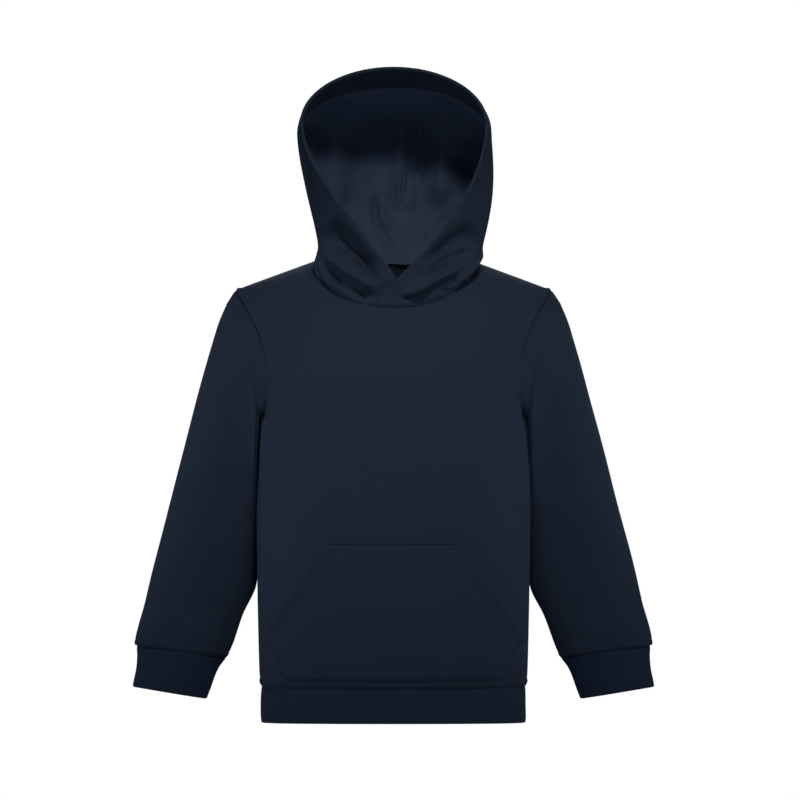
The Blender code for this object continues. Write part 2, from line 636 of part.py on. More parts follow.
def make_hood(edges):
    for name, sign in (("hood_left", 1.0), ("hood_right", -1.0)):
        path = neck_path(edges, sign)
        hem_wall = FLEECE + HEM_EXTRA
        grid = stack_at_throat(hood_half_points(path, sign), sign, hem_wall)
        grid[:, -1, 0] += sign * 0.5 * SEAM_GAP
        grid[-1, :-1, 0] += sign * 0.5 * SEAM_GAP
        normals = grid_normals(grid)
        if ((grid - np.array(HOOD_CENTRE)) * normals).sum() < 0:
            normals = -normals
        around_back = smoothstep(BACK_FAN, 1.0, np.linspace(0.0, 1.0, len(path)))[:, None, None]
        outward = unit((grid - np.array(HOOD_CENTRE)) * np.array(BACK_FLATNESS))
        inward = -unit(normals * (1.0 - around_back) + outward * around_back)
        inward[:, 0] = neck_inward(grid[:, 0])
        inward[:, -1, 0] = 0.0
        inward[-1, :, 0] = 0.0
        inward = unit(inward)
        face_edge = grid[0]
        gap = np.linalg.norm(grid[:, :, None] - face_edge[None, None], axis=-1).min(axis=-1)
        hem = smoothstep(HEM_WIDTH + HEM_FADE, HEM_WIDTH - HEM_FADE, gap)
        wall_solid(name, grid, inward, FLEECE + HEM_EXTRA * hem)


def clear_scene():
    for old in list(bpy.data.objects):
        bpy.data.objects.remove(old, do_unlink=True)


def main():
    clear_scene()
    arm_inward = make_sleeves()
    make_cuffs()
    edges = make_body(arm_inward)
    make_band()
    make_pocket()
    make_hood(edges)


main()
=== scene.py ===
"""Looks of the toddler hoodie: fine cloth shells on the forms of its solids, with their creases,
turned edges, ribs and stitching, and the floor, light and camera.

Metres, +Z up, the front faces -Y, +X is the wearer's left. The forms repeat the named sizes that
the solids are built from. Each piece is a grid of points with directions outward; what sewing and
creasing do to it is a push along those directions, and a wall is then closed round it.
"""
import math
from collections import namedtuple

import bmesh
import bpy
import numpy as np
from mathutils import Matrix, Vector
from mathutils.bvhtree import BVHTree
from mathutils.kdtree import KDTree


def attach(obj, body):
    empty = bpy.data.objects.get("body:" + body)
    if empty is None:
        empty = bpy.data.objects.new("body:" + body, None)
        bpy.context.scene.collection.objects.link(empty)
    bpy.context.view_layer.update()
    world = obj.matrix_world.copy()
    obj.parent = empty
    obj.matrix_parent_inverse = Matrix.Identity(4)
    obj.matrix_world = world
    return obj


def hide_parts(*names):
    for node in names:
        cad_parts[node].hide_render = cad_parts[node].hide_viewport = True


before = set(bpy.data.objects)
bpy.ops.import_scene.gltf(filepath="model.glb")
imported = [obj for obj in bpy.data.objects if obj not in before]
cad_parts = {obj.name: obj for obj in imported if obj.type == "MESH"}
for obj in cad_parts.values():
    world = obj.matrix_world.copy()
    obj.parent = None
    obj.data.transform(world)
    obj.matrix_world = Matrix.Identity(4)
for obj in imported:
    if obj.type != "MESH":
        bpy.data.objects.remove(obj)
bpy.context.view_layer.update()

# --------------------------------------------------------------------------- sizes of the forms
FLEECE = 0.0018          # wall of the sweatshirt cloth
RIB = 0.0030             # wall of the folded rib
HEM_EXTRA = 0.0012       # more wall where the hood's face edge is turned in
SEAM_LAP = 0.0004        # how far the shells run into each other in a seam's ditch
SEAM_LEAN = 0.0060       # how far from a seam the walls of its two pieces start to turn to each other
SEAM_NEAR = 0.0035       # edges closer than this are sewn together

TorsoRing = namedtuple("TorsoRing", "height half_width front_depth back_depth")
TORSO = [TorsoRing(*row) for row in (
    (-0.3915, 0.1220, 0.0735, 0.0750),
    (-0.3840, 0.1231, 0.0765, 0.0770),
    (-0.3600, 0.1240, 0.0790, 0.0795),
    (-0.3000, 0.1251, 0.0825, 0.0820),
    (-0.2200, 0.1258, 0.0860, 0.0845),
    (-0.1450, 0.1240, 0.0865, 0.0855),
)]
RING_POWER = 2.4
WAIST_DIP = 0.0026
LOWER_CROWDING = 1.25
ARMPIT_Z = -0.1450
SHOULDER_TIP_X = 0.1458
SHOULDER_TIP_Z = -0.0276
NECK_POINT_X = 0.0704
SHOULDER_ROUND = 2.2
ARMHOLE_SCOOP = 0.0151
SCOOP_LEVEL = 0.42
SCOOP_LOW_POWER = 0.94
SCOOP_HIGH_POWER = 1.30
CORNER_SCOOP = 0.16                  # the cloth's armhole turns a tighter corner under the arm
COLUMN_TURN = 3.0
NECK_CENTRE_Y = -0.012
FRONT_NECK_LEVEL = 0.646
BACK_NECK_LEVEL = 0.900
NECK_POWER = 2.3
BAND_HALF_WIDTH = 0.1216
BAND_FRONT_DEPTH = 0.0730
BAND_BACK_DEPTH = 0.0745
BAND_BOTTOM_Z = -0.4254

PocketRow = namedtuple("PocketRow", "height half_width")
POCKET = [PocketRow(*row) for row in (
    (-0.3900, 0.0950),
    (-0.3636, 0.1052),
    (-0.3464, 0.1155),
    (-0.2592, 0.0600),
)]
POCKET_LIFT = 0.0007
POCKET_SWELL = 0.0016
POCKET_MIDDLE_SWELL = 0.35
POCKET_SLANT = 0.843                 # distance from a slanted opening, against the one across

SleeveRing = namedtuple("SleeveRing", "outer_x outer_z inner_x inner_z depth back tube")
SLEEVE = [SleeveRing(*row) for row in (
    (0.1535, -0.0396, 0.1248, -0.1475, 0.092, 0.001, 0.25),
    (0.1604, -0.0560, 0.1249, -0.1530, 0.096, 0.003, 0.50),
    (0.1670, -0.0780, 0.1249, -0.1630, 0.096, 0.007, 0.75),
    (0.1747, -0.1050, 0.1247, -0.1770, 0.092, 0.012, 1.00),
    (0.1828, -0.1350, 0.1245, -0.1950, 0.086, 0.018, 1.00),
    (0.1938, -0.1760, 0.1243, -0.2240, 0.076, 0.024, 1.00),
    (0.2057, -0.2210, 0.1241, -0.2580, 0.064, 0.027, 1.00),
    (0.2191, -0.2740, 0.1255, -0.2970, 0.048, 0.027, 1.00),
    (0.2290, -0.3140, 0.1392, -0.3280, 0.039, 0.025, 1.00),
    (0.2382, -0.3480, 0.1510, -0.3605, 0.036, 0.022, 1.00),
    (0.2386, -0.3545, 0.1535, -0.3660, 0.032, 0.022, 1.00),
)]
SLEEVE_TUCK = 0.010
SLEEVE_TUCK_Z = -0.180
SLEEVE_TUCK_REACH = 0.018
SLEEVE_POWER = 2.15
CLOTH_SLEEVE_POWER = 2.5             # the cloth hangs a little flatter in front than its solid,
FLATTER = 7.0                        # and more so beside the body
FLATTER_Z = -0.185
FLATTER_REACH = 0.070
FLUSH, FLUSH_Z, FLUSH_REACH = 0.05, -0.155, 0.030    # and no prouder than the body at the armpit
CUFF = [SleeveRing(*row) for row in (
    (0.2366, -0.3560, 0.1545, -0.3667, 0.031, 0.022, 1.00),
    (0.2362, -0.3640, 0.1605, -0.3745, 0.029, 0.022, 1.00),
    (0.2368, -0.3760, 0.1662, -0.3865, 0.027, 0.021, 1.00),
    (0.2400, -0.3926, 0.1724, -0.4039, 0.027, 0.021, 1.00),
)]

Hoop = namedtuple("Hoop", "foot wide wide_back wide_z top_back top_z seam_share rise lag bulge")
HOOD = [Hoop(*row) for row in (
    (0.00, 0.0862, -0.066, 0.124, -0.060, 0.1765, 0.203, 1.80, 1.33, 0.008),
    (0.13, 0.0885, -0.046, 0.119, -0.038, 0.1650, 0.209, 1.85, 1.10, 0.005),
    (0.27, 0.0893, -0.018, 0.112, -0.011, 0.1525, 0.218, 1.95, 1.00, 0.002),
    (0.43, 0.0875, 0.013, 0.105, 0.019, 0.1410, 0.223, 2.00, 1.00, 0.000),
    (0.58, 0.0800, 0.041, 0.094, 0.049, 0.1275, 0.225, 2.00, 1.00, -0.004),
    (0.72, 0.0630, 0.062, 0.080, 0.071, 0.1080, 0.200, 2.00, 1.00, -0.006),
    (0.86, 0.0360, 0.073, 0.064, 0.079, 0.0850, 0.120, 2.00, 1.00, -0.006),
    (1.00, 0.0000, 0.077, 0.050, 0.080, 0.0640, 0.000, 2.00, 1.00, -0.006),
)]
HOOD_FOOT_CROWDING = 1.35
HOOD_SWAY = 0.0070
HOOD_SWAY_Z = 0.030
HOOD_SWAY_REACH = 0.060
SWAY_STARTS = (0.003, 0.020)
ROLL_HEIGHT = 0.0045
ROLL_RISE = 0.015
ROLL_REACH = 0.009
ROLL_STARTS = (0.12, 0.24)
ROLL_ENDS = (0.62, 0.42)
THROAT_WIDTH = (0.034, 0.016)
THROAT_DEPTH = (-0.020, -0.050)
THROAT_TURN = math.radians(11.25)    # how far past the middle each half runs, round the neck seam
HEM_WIDTH = 0.027
HEM_CROWN_WIDTH = 0.034              # the hem widens towards the crown
HEM_WIDENS = (0.45, 0.85)            # between these shares of the way up the face edge
HEM_STITCH = 0.945                   # share of the hem's width where it is stitched down
HOOD_CENTRE = (0.0, 0.010, 0.060)
SEAM_WANDER = 0.0078
WANDER_Z = 0.078
WANDER_REACH = 0.036
EASING = 130                         # passes that ease the turn of each hoop
EASE_FOOT, EASE_CROWN, EASE_BACK = (0.018, 0.036), (0.0, 0.024), (0.005, 0.045)
NARROW_HOOP = 0.030

# --------------------------------------------------------------------------- fineness and cloth
NEAR_SEAM = (0.0, 0.0004, 0.0009, 0.0016, 0.0025, 0.0037, 0.0052)   # points this far from a seam
DITCH_DEPTH = 0.0011
DITCH_REACH = 0.0017
FURROW_DEPTH, FURROW_REACH = 0.00035, 0.0012
STITCH_PITCH = 0.0030
STITCH_LENGTH = 0.0023
STITCH_RADIUS = 0.00024
RIB_PITCH = 0.0021
RIB_HEIGHT = 0.00007
POINTS_PER_RIB = 4
FOLD_ROUND = 0.9                     # how round a folded edge is, against 1 for a half circle
CUT_ROUND = 0.85                     # the same for the pocket's turned edges
RIM_STEPS = 4


# --------------------------------------------------------------------------- curves and tables
def smooth_read(knots, values, at):
    """Read a smooth curve through the knots, without overshoot, at the given places."""
    knots = np.asarray(knots, float)
    values = np.asarray(values, float)
    at = np.clip(np.asarray(at, float), knots[0], knots[-1])
    steps = np.diff(knots)
    slopes = np.diff(values) / steps
    tangents = np.empty_like(values)
    tangents[0] = slopes[0]
    tangents[-1] = slopes[-1]
    for i in range(1, len(knots) - 1):
        before, after = slopes[i - 1], slopes[i]
        tangents[i] = 0.0 if before * after <= 0 else 2.0 * before * after / (before + after)
    i = np.clip(np.searchsorted(knots, at, side="right") - 1, 0, len(steps) - 1)
    t = (at - knots[i]) / steps[i]
    return ((2 * t**3 - 3 * t**2 + 1) * values[i] + (t**3 - 2 * t**2 + t) * steps[i] * tangents[i]
            + (3 * t**2 - 2 * t**3) * values[i + 1] + (t**3 - t**2) * steps[i] * tangents[i + 1])


def read_table(rows, key, knots, at):
    return smooth_read(knots, [getattr(row, key) for row in rows], at)


def read_all(rows, knots, at):
    """Rows between those of a table, one for each place."""
    kind = type(rows[0])
    return [kind(*row) for row in zip(*(read_table(rows, key, knots, at) for key in kind._fields))]


def at_places(places, run, points):
    """Points of a line at the given distances along it."""
    return np.stack([np.interp(places, run, points[:, axis]) for axis in range(points.shape[1])], axis=-1)


def smoothstep(low, high, value):
    t = np.clip((value - low) / (high - low), 0.0, 1.0)
    return t * t * (3.0 - 2.0 * t)


def bell(value, place, reach):
    """A hump one high over the place, which falls off with the reach."""
    return np.exp(-((value - place) / reach) ** 2)


def unit(vectors):
    lengths = np.linalg.norm(vectors, axis=-1, keepdims=True)
    return vectors / np.maximum(lengths, 1e-12)


def rounded(share, power):
    return np.maximum(1.0 - np.abs(share) ** power, 0.0) ** (1.0 / power)


def run_of(points):
    """Distance of each point of a line from its first."""
    return np.concatenate([[0.0], np.cumsum(np.linalg.norm(np.diff(points, axis=0), axis=1))])


# --------------------------------------------------------------------------- spacing of the meshes
Stretch = namedtuple("Stretch", "first last count start end")


def stations(total, stretch):
    """Distances of a stretch's points, set closer at the ends that are seams."""
    near = np.array(NEAR_SEAM) * min(1.0, total / (3.0 * NEAR_SEAM[-1]))
    head = near if stretch.start else near[:1]
    tail = total - (near if stretch.end else near[:1])[::-1]
    middle = np.linspace(head[-1], tail[0], stretch.count - len(head) - len(tail) + 2)[1:-1]
    return np.concatenate([head, middle, tail])


def respaced(grid, stretches):
    """Respace the points of each row of a grid, stretch by stretch."""
    rows = []
    for row in grid:
        parts = []
        for stretch in stretches:
            piece = row[stretch.first:stretch.last + 1]
            run = run_of(piece)
            points = at_places(stations(run[-1], stretch), run, piece)
            parts.append(points if not parts else points[1:])
        rows.append(np.vstack(parts))
    return np.array(rows)


def respaced_up(grid, stretches):
    """The same for the columns."""
    return respaced(grid.transpose(1, 0, 2), stretches).transpose(1, 0, 2)


def runs_across(grid):
    steps = np.linalg.norm(np.diff(grid, axis=1), axis=-1)
    return np.concatenate([np.zeros((len(grid), 1)), np.cumsum(steps, axis=1)], axis=1)


def runs_up(grid):
    return runs_across(grid.transpose(1, 0, 2)).T


def normals_of(grid, centre, closed=False):
    """Outward normals of a grid that lies round the centre."""
    up = np.gradient(grid, axis=0)
    if closed:
        across = np.roll(grid, -1, axis=1) - np.roll(grid, 1, axis=1)
    else:
        across = np.gradient(grid, axis=1)
    normals = unit(np.cross(up, across))
    turned = ((grid - np.asarray(centre)) * normals).sum()
    return normals if turned > 0 else -normals


# --------------------------------------------------------------------------- creases
Crease = namedtuple("Crease", "facing push width path")
CREASE_STARTS = (0.0, 0.22)          # shares of its line over which a crease rises and dies away,
CREASE_ENDS = (1.0, 0.72)
CREASE_FACES = (0.15, 0.60)          # and how far the cloth has to face the view to show it


def folds(facing, *rows):
    """Creases drawn on the front view (-1) or the back view (1): push, width and path of each."""
    return tuple(Crease(facing, *row) for row in rows)


def distance_to(path, flat):
    """Distance of flat points from a smooth line through the path, and the share along it."""
    path = np.asarray(path, float)
    knots = np.arange(len(path))
    at = np.linspace(0.0, len(path) - 1.0, 8 * len(path))
    line = np.stack([smooth_read(knots, path[:, axis], at) for axis in range(2)], axis=-1)
    run = run_of(line)
    best = np.full(len(flat), 1e9)
    share = np.zeros(len(flat))
    for k in range(len(line) - 1):
        step = line[k + 1] - line[k]
        t = np.clip(((flat - line[k]) @ step) / max(step @ step, 1e-15), 0.0, 1.0)
        gap = np.linalg.norm(flat - line[k] - t[:, None] * step, axis=1)
        closer = gap < best
        best[closer] = gap[closer]
        share[closer] = ((run[k] + t * (run[k + 1] - run[k])) / run[-1])[closer]
    return best, share


def creased(grid, normals, creases):
    """How far creases push each point outward."""
    flat = grid[..., (0, 2)].reshape(-1, 2)
    push = np.zeros(len(flat))
    for crease in creases:
        gap, share = distance_to(crease.path, flat)
        ends = smoothstep(*CREASE_STARTS, share) * smoothstep(*CREASE_ENDS, share)
        faces = smoothstep(*CREASE_FACES, crease.facing * normals[..., 1].reshape(-1))
        push += crease.push * bell(gap, 0.0, crease.width) * ends * faces
    return push.reshape(grid.shape[:2])


def swells(grid, sizes):
    """Soft unevenness of hanging cloth: long waves with set lengths and phases."""
    push = np.zeros(grid.shape[:2])
    for height, across, along, phase in sizes:
        push += height * np.sin(grid[..., 0] / across + grid[..., 1] / (0.7 * across) + phase) \
            * np.cos(grid[..., 2] / along + 1.7 * phase)
    return push


def from_line(grid, line):
    """Distance of each point of a grid from a line given by its corners."""
    points = grid.reshape(-1, 3)
    tree = KDTree(len(line))
    for k, corner in enumerate(line):
        tree.insert(corner, k)
    tree.balance()
    nearest = np.array([tree.find(point)[1] for point in points])
    best = np.full(len(points), 1e9)
    for shift in (-1, 0):
        k = np.clip(nearest + shift, 0, len(line) - 2)
        step = line[k + 1] - line[k]
        t = ((points - line[k]) * step).sum(axis=1) / np.maximum((step * step).sum(axis=1), 1e-15)
        gap = np.linalg.norm(points - line[k] - np.clip(t, 0.0, 1.0)[:, None] * step, axis=1)
        best = np.minimum(best, gap)
    return best.reshape(grid.shape[:2])


def ditch(distance, depth=DITCH_DEPTH, reach=DITCH_REACH):
    """The dip of a seam, from the distance to the seamed edge."""
    return -depth * bell(distance, 0.0, reach)


DRAW_LOW, DRAW_MORE, DRAW_Z = 0.16, 0.66, (-0.125, -0.065)


def armhole_draw(z):
    """How much the armhole seam draws the cloth in: most at the shoulder, little under the arm."""
    return DRAW_LOW + DRAW_MORE * smoothstep(*DRAW_Z, z)


def furrow(distance, place, depth=FURROW_DEPTH, reach=FURROW_REACH):
    """The dip that a line of stitching pulls in."""
    return -depth * bell(distance, place, reach)


def raised(distance, height, place, reach):
    """A low ridge at a distance from an edge."""
    return height * bell(distance, place, reach)


def ledge(distance, height, span):
    """A step up over a span of distances from an edge."""
    return height * smoothstep(*span, distance)


# --------------------------------------------------------------------------- shells
def link_piece(name, mesh):
    mesh.shade_smooth()
    piece = bpy.data.objects.new(name, mesh)
    bpy.context.scene.collection.objects.link(piece)
    return piece


def rims(rows, cols, closed):
    """The edges of a grid as loops of point numbers, each with the sense it runs in."""
    if closed:
        return [(list(range(cols)), 1), ([(rows - 1) * cols + c for c in range(cols)], -1)]
    edge = list(range(cols)) + [r * cols + cols - 1 for r in range(1, rows)]
    edge += [(rows - 1) * cols + c for c in reversed(range(cols - 1))]
    edge += [r * cols for r in reversed(range(1, rows - 1))]
    return [(edge, 1)]


def shell(name, outer, normals, thickness, materials, closed=False, round_edges=None, uv=None,
          turned_in=None):
    """A closed wall of cloth: outer and inner grids and rounded rims between them.

    Where turned_in is true, the inside shows the cloth's face, as in a hem.
    """
    rows, cols = outer.shape[:2]
    count = rows * cols
    wall = np.broadcast_to(np.asarray(thickness, float), (rows, cols))
    flat_outer = outer.reshape(-1, 3)
    flat_inner = (outer - normals * wall[..., None]).reshape(-1, 3)
    flat_uv = (np.stack([runs_across(outer), runs_up(outer)], axis=-1) if uv is None else uv).reshape(-1, 2)
    corners, corner_uv = [flat_outer, flat_inner], [flat_uv, flat_uv]
    faces, slots = [], []
    for r in range(rows - 1):
        for c in range(cols if closed else cols - 1):
            a, b = r * cols + c, r * cols + (c + 1) % cols
            faces.append((a, b, b + cols, a + cols))
            faces.append((a + count, a + cols + count, b + cols + count, b + count))
            slots += (0, int(turned_in is None or not turned_in[r, c]))
    away = edge_directions(outer, closed).reshape(-1, 3)
    roundness = np.zeros(count) if round_edges is None else round_edges.reshape(-1)
    total = 2 * count
    for loop, turn in rims(rows, cols, closed):
        o, n, e = flat_outer[loop], flat_inner[loop], away[loop]
        half = 0.5 * (o - n)
        middle = 0.5 * (o + n)
        width = np.linalg.norm(half, axis=1, keepdims=True) * roundness[loop][:, None]
        e = unit(e - unit(half) * (e * unit(half)).sum(axis=1, keepdims=True))
        rings = [np.array(loop)]
        for j in range(1, RIM_STEPS):
            angle = math.pi * j / RIM_STEPS
            corners.append(middle + math.cos(angle) * half + math.sin(angle) * width * e)
            corner_uv.append(flat_uv[loop])
            rings.append(total + np.arange(len(loop)))
            total += len(loop)
        rings.append(np.array(loop) + count)
        for low, high in zip(rings, rings[1:]):
            for k in range(len(loop)):
                m = (k + 1) % len(loop)
                quad = (low[k], high[k], high[m], low[m])
                faces.append(tuple(int(i) for i in (quad if turn > 0 else quad[::-1])))
                slots.append(0)
    mesh = bpy.data.meshes.new(name)
    mesh.from_pydata(np.vstack(corners).tolist(), [], faces)
    for material in materials:
        mesh.materials.append(material)
    mesh.polygons.foreach_set("material_index", slots)
    index = np.empty(len(mesh.loops), np.int32)
    mesh.loops.foreach_get("vertex_index", index)
    layer = mesh.uv_layers.new(name="cloth")
    layer.data.foreach_set("uv", np.vstack(corner_uv)[index].astype(np.float32).ravel())
    work = bmesh.new()
    work.from_mesh(mesh)
    bmesh.ops.recalc_face_normals(work, faces=work.faces)
    if work.calc_volume(signed=True) < 0:
        bmesh.ops.reverse_faces(work, faces=work.faces)
    work.to_mesh(mesh)
    work.free()
    return link_piece(name, mesh)


class Cloth:
    """One cut piece: a grid of points, the outward directions at them, and its sewn edges."""

    def __init__(self, name, grid, normals, seams, closed=False):
        self.name, self.grid, self.normals = name, grid, normals
        self.seams, self.closed = seams, closed
        self.around = runs_across(grid)
        sides = ("bottom", "top") if closed else ("left", "right", "bottom", "top")
        self.to = {side: from_line(grid, self.edge(grid, side)) for side in sides}

    def edge(self, values, side):
        line = {"left": values[:, 0], "right": values[:, -1], "bottom": values[0],
                "top": values[-1]}[side]
        return np.vstack([line, line[:1]]) if self.closed else line

    def lean(self, side, shared):
        """Turn the directions near a seam to the one both pieces share there."""
        shared = shared[:-1] if self.closed else shared
        spread = shared[:, None] if side in ("left", "right") else shared[None]
        weight = smoothstep(SEAM_LEAN, 0.0, self.to[side])[..., None]
        self.normals = unit(self.normals + weight * (spread - self.normals))


def share_seams(cloths):
    """Give the sewn edges of neighbours one direction, so that their walls meet."""
    edges = [(cloth, side, cloth.edge(cloth.grid, side), cloth.edge(cloth.normals, side))
             for cloth in cloths for side in cloth.seams]
    shared = []
    for cloth, side, points, normals in edges:
        total = normals.copy()
        for other in cloths:
            if other is cloth:
                continue
            near_points = np.vstack([p for c, _, p, _ in edges if c is other])
            near_normals = np.vstack([n for c, _, _, n in edges if c is other])
            gaps = np.linalg.norm(points[:, None] - near_points[None], axis=-1)
            nearest = gaps.argmin(axis=1)
            close = gaps[np.arange(len(points)), nearest] < SEAM_NEAR
            total += near_normals[nearest] * close[:, None]
        shared.append(unit(total))
    for (cloth, side, _, _), directions in zip(edges, shared):
        cloth.lean(side, directions)


def edge_directions(grid, closed):
    """Directions out over a grid's edges, zero inside it."""
    away = np.zeros_like(grid)
    away[0] += unit(grid[0] - grid[1])
    away[-1] += unit(grid[-1] - grid[-2])
    if not closed:
        away[:, 0] += unit(grid[:, 0] - grid[:, 1])
        away[:, -1] += unit(grid[:, -1] - grid[:, -2])
    return away


# --------------------------------------------------------------------------- materials
class Fabric:
    """A cloth's material: waves and noise that drive the colour and the bump of one shader."""

    def __init__(self, name, colour, roughness, sheen, tint):
        self.material = bpy.data.materials.new(name)
        self.material.use_nodes = True
        self.nodes, self.links = self.material.node_tree.nodes, self.material.node_tree.links
        self.shader, self.colour = self.nodes["Principled BSDF"], colour
        self.set(self.shader, {"Base Color": (*colour, 1.0), "Roughness": roughness,
                               "Specular IOR Level": 0.12, "Sheen Weight": sheen,
                               "Sheen Roughness": 0.45, "Sheen Tint": (*tint, 1.0)})
        self.place = self.nodes.new("ShaderNodeTexCoord").outputs["Object"]

    def set(self, node, values):
        """Give sockets their values, and link those that another node gives."""
        for key, value in values.items():
            if isinstance(value, bpy.types.NodeSocket):
                self.links.new(value, node.inputs[key])
            else:
                node.inputs[key].default_value = value

    def math(self, operation, first, second=0.0):
        node = self.nodes.new("ShaderNodeMath")
        node.operation = operation
        self.set(node, {0: first, 1: second})
        return node.outputs[0]

    def sum(self, first, second, share=1.0):
        """The first and a share of the second."""
        return self.math("ADD", first, self.times(second, share))

    def times(self, value, factor):
        return self.math("MULTIPLY", value, factor)

    def noise(self, scale, detail, rough=0.5):
        node = self.nodes.new("ShaderNodeTexNoise")
        self.set(node, {"Scale": scale, "Detail": detail, "Roughness": rough, "Vector": self.place})
        return node.outputs["Fac"]

    def along_cloth(self):
        """Distances across and up the flat cloth."""
        uv = self.nodes.new("ShaderNodeUVMap")
        uv.uv_map = "cloth"
        split = self.nodes.new("ShaderNodeSeparateXYZ")
        self.links.new(uv.outputs["UV"], split.inputs[0])
        return split.outputs["X"], split.outputs["Y"]

    def finished(self, height, strength, depth, mottle, dark, light):
        """The material, with its bump, and its colour between a darker and a lighter share."""
        node = self.nodes.new("ShaderNodeBump")
        self.set(node, {"Strength": strength, "Distance": depth, "Height": height})
        self.links.new(node.outputs["Normal"], self.shader.inputs["Normal"])
        mix = self.nodes.new("ShaderNodeMix")
        mix.data_type = "RGBA"
        self.set(mix, {"Factor": mottle, "A": (*(dark * c for c in self.colour), 1.0),
                       "B": (*(light * c for c in self.colour), 1.0)})
        self.links.new(mix.outputs["Result"], self.shader.inputs["Base Color"])
        return self.material


def knit_face(name, colour):
    """Right side of sweatshirt cloth: fine columns of knit stitches under a short nap."""
    cloth = Fabric(name, colour, 0.90, 0.04, (0.42, 0.58, 1.0))
    x, y = cloth.along_cloth()
    lean = cloth.math("ABSOLUTE", cloth.math("SINE", cloth.times(x, 2.0 * math.pi / WALE)))
    up = cloth.times(y, 2.0 * math.pi / COURSE)
    loop = cloth.math("SINE", cloth.sum(up, lean, 2.2))
    knit = cloth.sum(cloth.times(lean, 0.6), loop, 0.35)
    fuzz = cloth.noise(1400.0, 3.0, 0.6)
    cloudy = cloth.noise(22.0, 4.0, 0.55)
    mottle = cloth.sum(cloth.times(cloudy, 0.6), fuzz, 0.4)
    return cloth.finished(cloth.sum(fuzz, knit, 0.5), 0.35, 0.0004, mottle, 0.88, 1.14)


def brushed_back(name, colour):
    """Wrong side of the cloth: a soft brushed pile, in a colour that is partly the real lighter brushed back
    and partly painted light inside the hood.
    """
    cloth = Fabric(name, colour, 0.95, 0.08, (0.50, 0.64, 1.0))
    pile = cloth.noise(650.0, 5.0, 0.65)
    patches = cloth.noise(60.0, 3.0, 0.5)
    return cloth.finished(cloth.sum(pile, patches, 0.4), 0.45, 0.0007, patches, 0.85, 1.18)


def rib_knit(name, colour):
    """Rib of the band and cuffs; its ribs are modelled, so this adds the yarn."""
    cloth = Fabric(name, colour, 0.92, 0.04, (0.45, 0.62, 1.0))
    loops = cloth.math("SINE", cloth.times(cloth.along_cloth()[1], 2.0 * math.pi / RIB_COURSE))
    fuzz = cloth.noise(1200.0, 3.0, 0.6)
    return cloth.finished(cloth.sum(fuzz, loops, 0.3), 0.35, 0.0004, fuzz, 0.86, 1.12)


def sewing_thread(name, colour):
    cloth = Fabric(name, colour, 0.60, 0.10, (0.6, 0.7, 0.9))
    twist = cloth.noise(2600.0, 2.0)
    return cloth.finished(twist, 0.4, 0.0002, twist, 0.85, 1.2)


WALE, COURSE, RIB_COURSE = 0.00095, 0.00075, 0.0009      # width and height of a knit stitch
FACE_COLOUR = (0.0118, 0.0184, 0.0318)
# wrong side: lighter than the face as a brushed back, and raised further as painted light that brightens the
# inside of the hood
BACK_TONE_AND_PAINTED_LIGHT = (0.0295, 0.0436, 0.0752)
RIB_COLOUR = (0.0090, 0.0162, 0.0335)
THREAD_COLOUR = (0.0130, 0.0180, 0.0340)
FACE = knit_face("fleece_face", FACE_COLOUR)
BACK = brushed_back("fleece_back_and_painted_light", BACK_TONE_AND_PAINTED_LIGHT)
RIBBING = rib_knit("rib_knit", RIB_COLOUR)
THREAD = sewing_thread("sewing_thread", THREAD_COLOUR)


# --------------------------------------------------------------------------- torso form
def torso_size(key, z):
    return read_table(TORSO, key, [ring.height for ring in TORSO], z)


def body_depth_key(facing):
    return "front_depth" if facing < 0 else "back_depth"


def shoulder_line(x):
    slope = -SHOULDER_TIP_Z / (SHOULDER_TIP_X - NECK_POINT_X)
    x = np.abs(x)
    arch = slope * (NECK_POINT_X**2 - x**2) / (2.0 * NECK_POINT_X)
    return np.where(x < NECK_POINT_X, arch, -slope * (x - NECK_POINT_X))


def level_height(x, level):
    return ARMPIT_Z + (shoulder_line(x) - ARMPIT_Z) * level


def chest_half_width(level):
    armpit = torso_size("half_width", ARMPIT_Z)
    return armpit + (SHOULDER_TIP_X - armpit) * level


def armhole_x(level):
    level = np.clip(level, 0.0, 1.0)
    low = (level / SCOOP_LEVEL) ** SCOOP_LOW_POWER
    low = low + CORNER_SCOOP * (1.0 - np.exp(-level / 0.015)) * np.exp(-level / 0.20)
    high = ((1.0 - level) / (1.0 - SCOOP_LEVEL)) ** SCOOP_HIGH_POWER
    return chest_half_width(level) - ARMHOLE_SCOOP * low * high


def lower_form(share, z, facing):
    y = facing * torso_size(body_depth_key(facing), z) * rounded(share, RING_POWER)
    return np.stack([torso_size("half_width", z) * share, y, z + 0.0 * share], axis=-1)


def chest_form(share, level, facing):
    x = armhole_x(level) * share
    depth = torso_size(body_depth_key(facing), ARMPIT_Z) * rounded(level, SHOULDER_ROUND)
    y = facing * depth * rounded(np.minimum(np.abs(x) / chest_half_width(level), 1.0), RING_POWER)
    return np.stack([x, y, level_height(x, level)], axis=-1)


def neck_level(x, facing):
    centre = FRONT_NECK_LEVEL if facing < 0 else BACK_NECK_LEVEL
    share = np.minimum(np.abs(x) / NECK_POINT_X, 1.0)
    return 1.0 - (1.0 - centre) * np.sqrt(np.maximum(1.0 - share**NECK_POWER, 0.0))


def top_levels(shares, facing):
    """Highest level of each column: the neck seam inside the neck points, else the shoulder seam."""
    shares = np.abs(shares)
    low, high = np.full(len(shares), 0.3), np.ones(len(shares))
    for _ in range(50):
        middle = 0.5 * (low + high)
        below = middle < neck_level(armhole_x(middle) * shares, facing)
        low = np.where(below, middle, low)
        high = np.where(below, high, middle)
    return np.where(shares >= NECK_POINT_X / SHOULDER_TIP_X - 1e-9, 1.0, low)


def neck_shares(turn):
    """Column places along the neck seam, from its middle (0) to the neck point (a right angle)."""
    neck = NECK_POINT_X / SHOULDER_TIP_X
    return np.sign(turn) * neck * np.abs(np.sin(turn)) ** (2.0 / NECK_POWER)


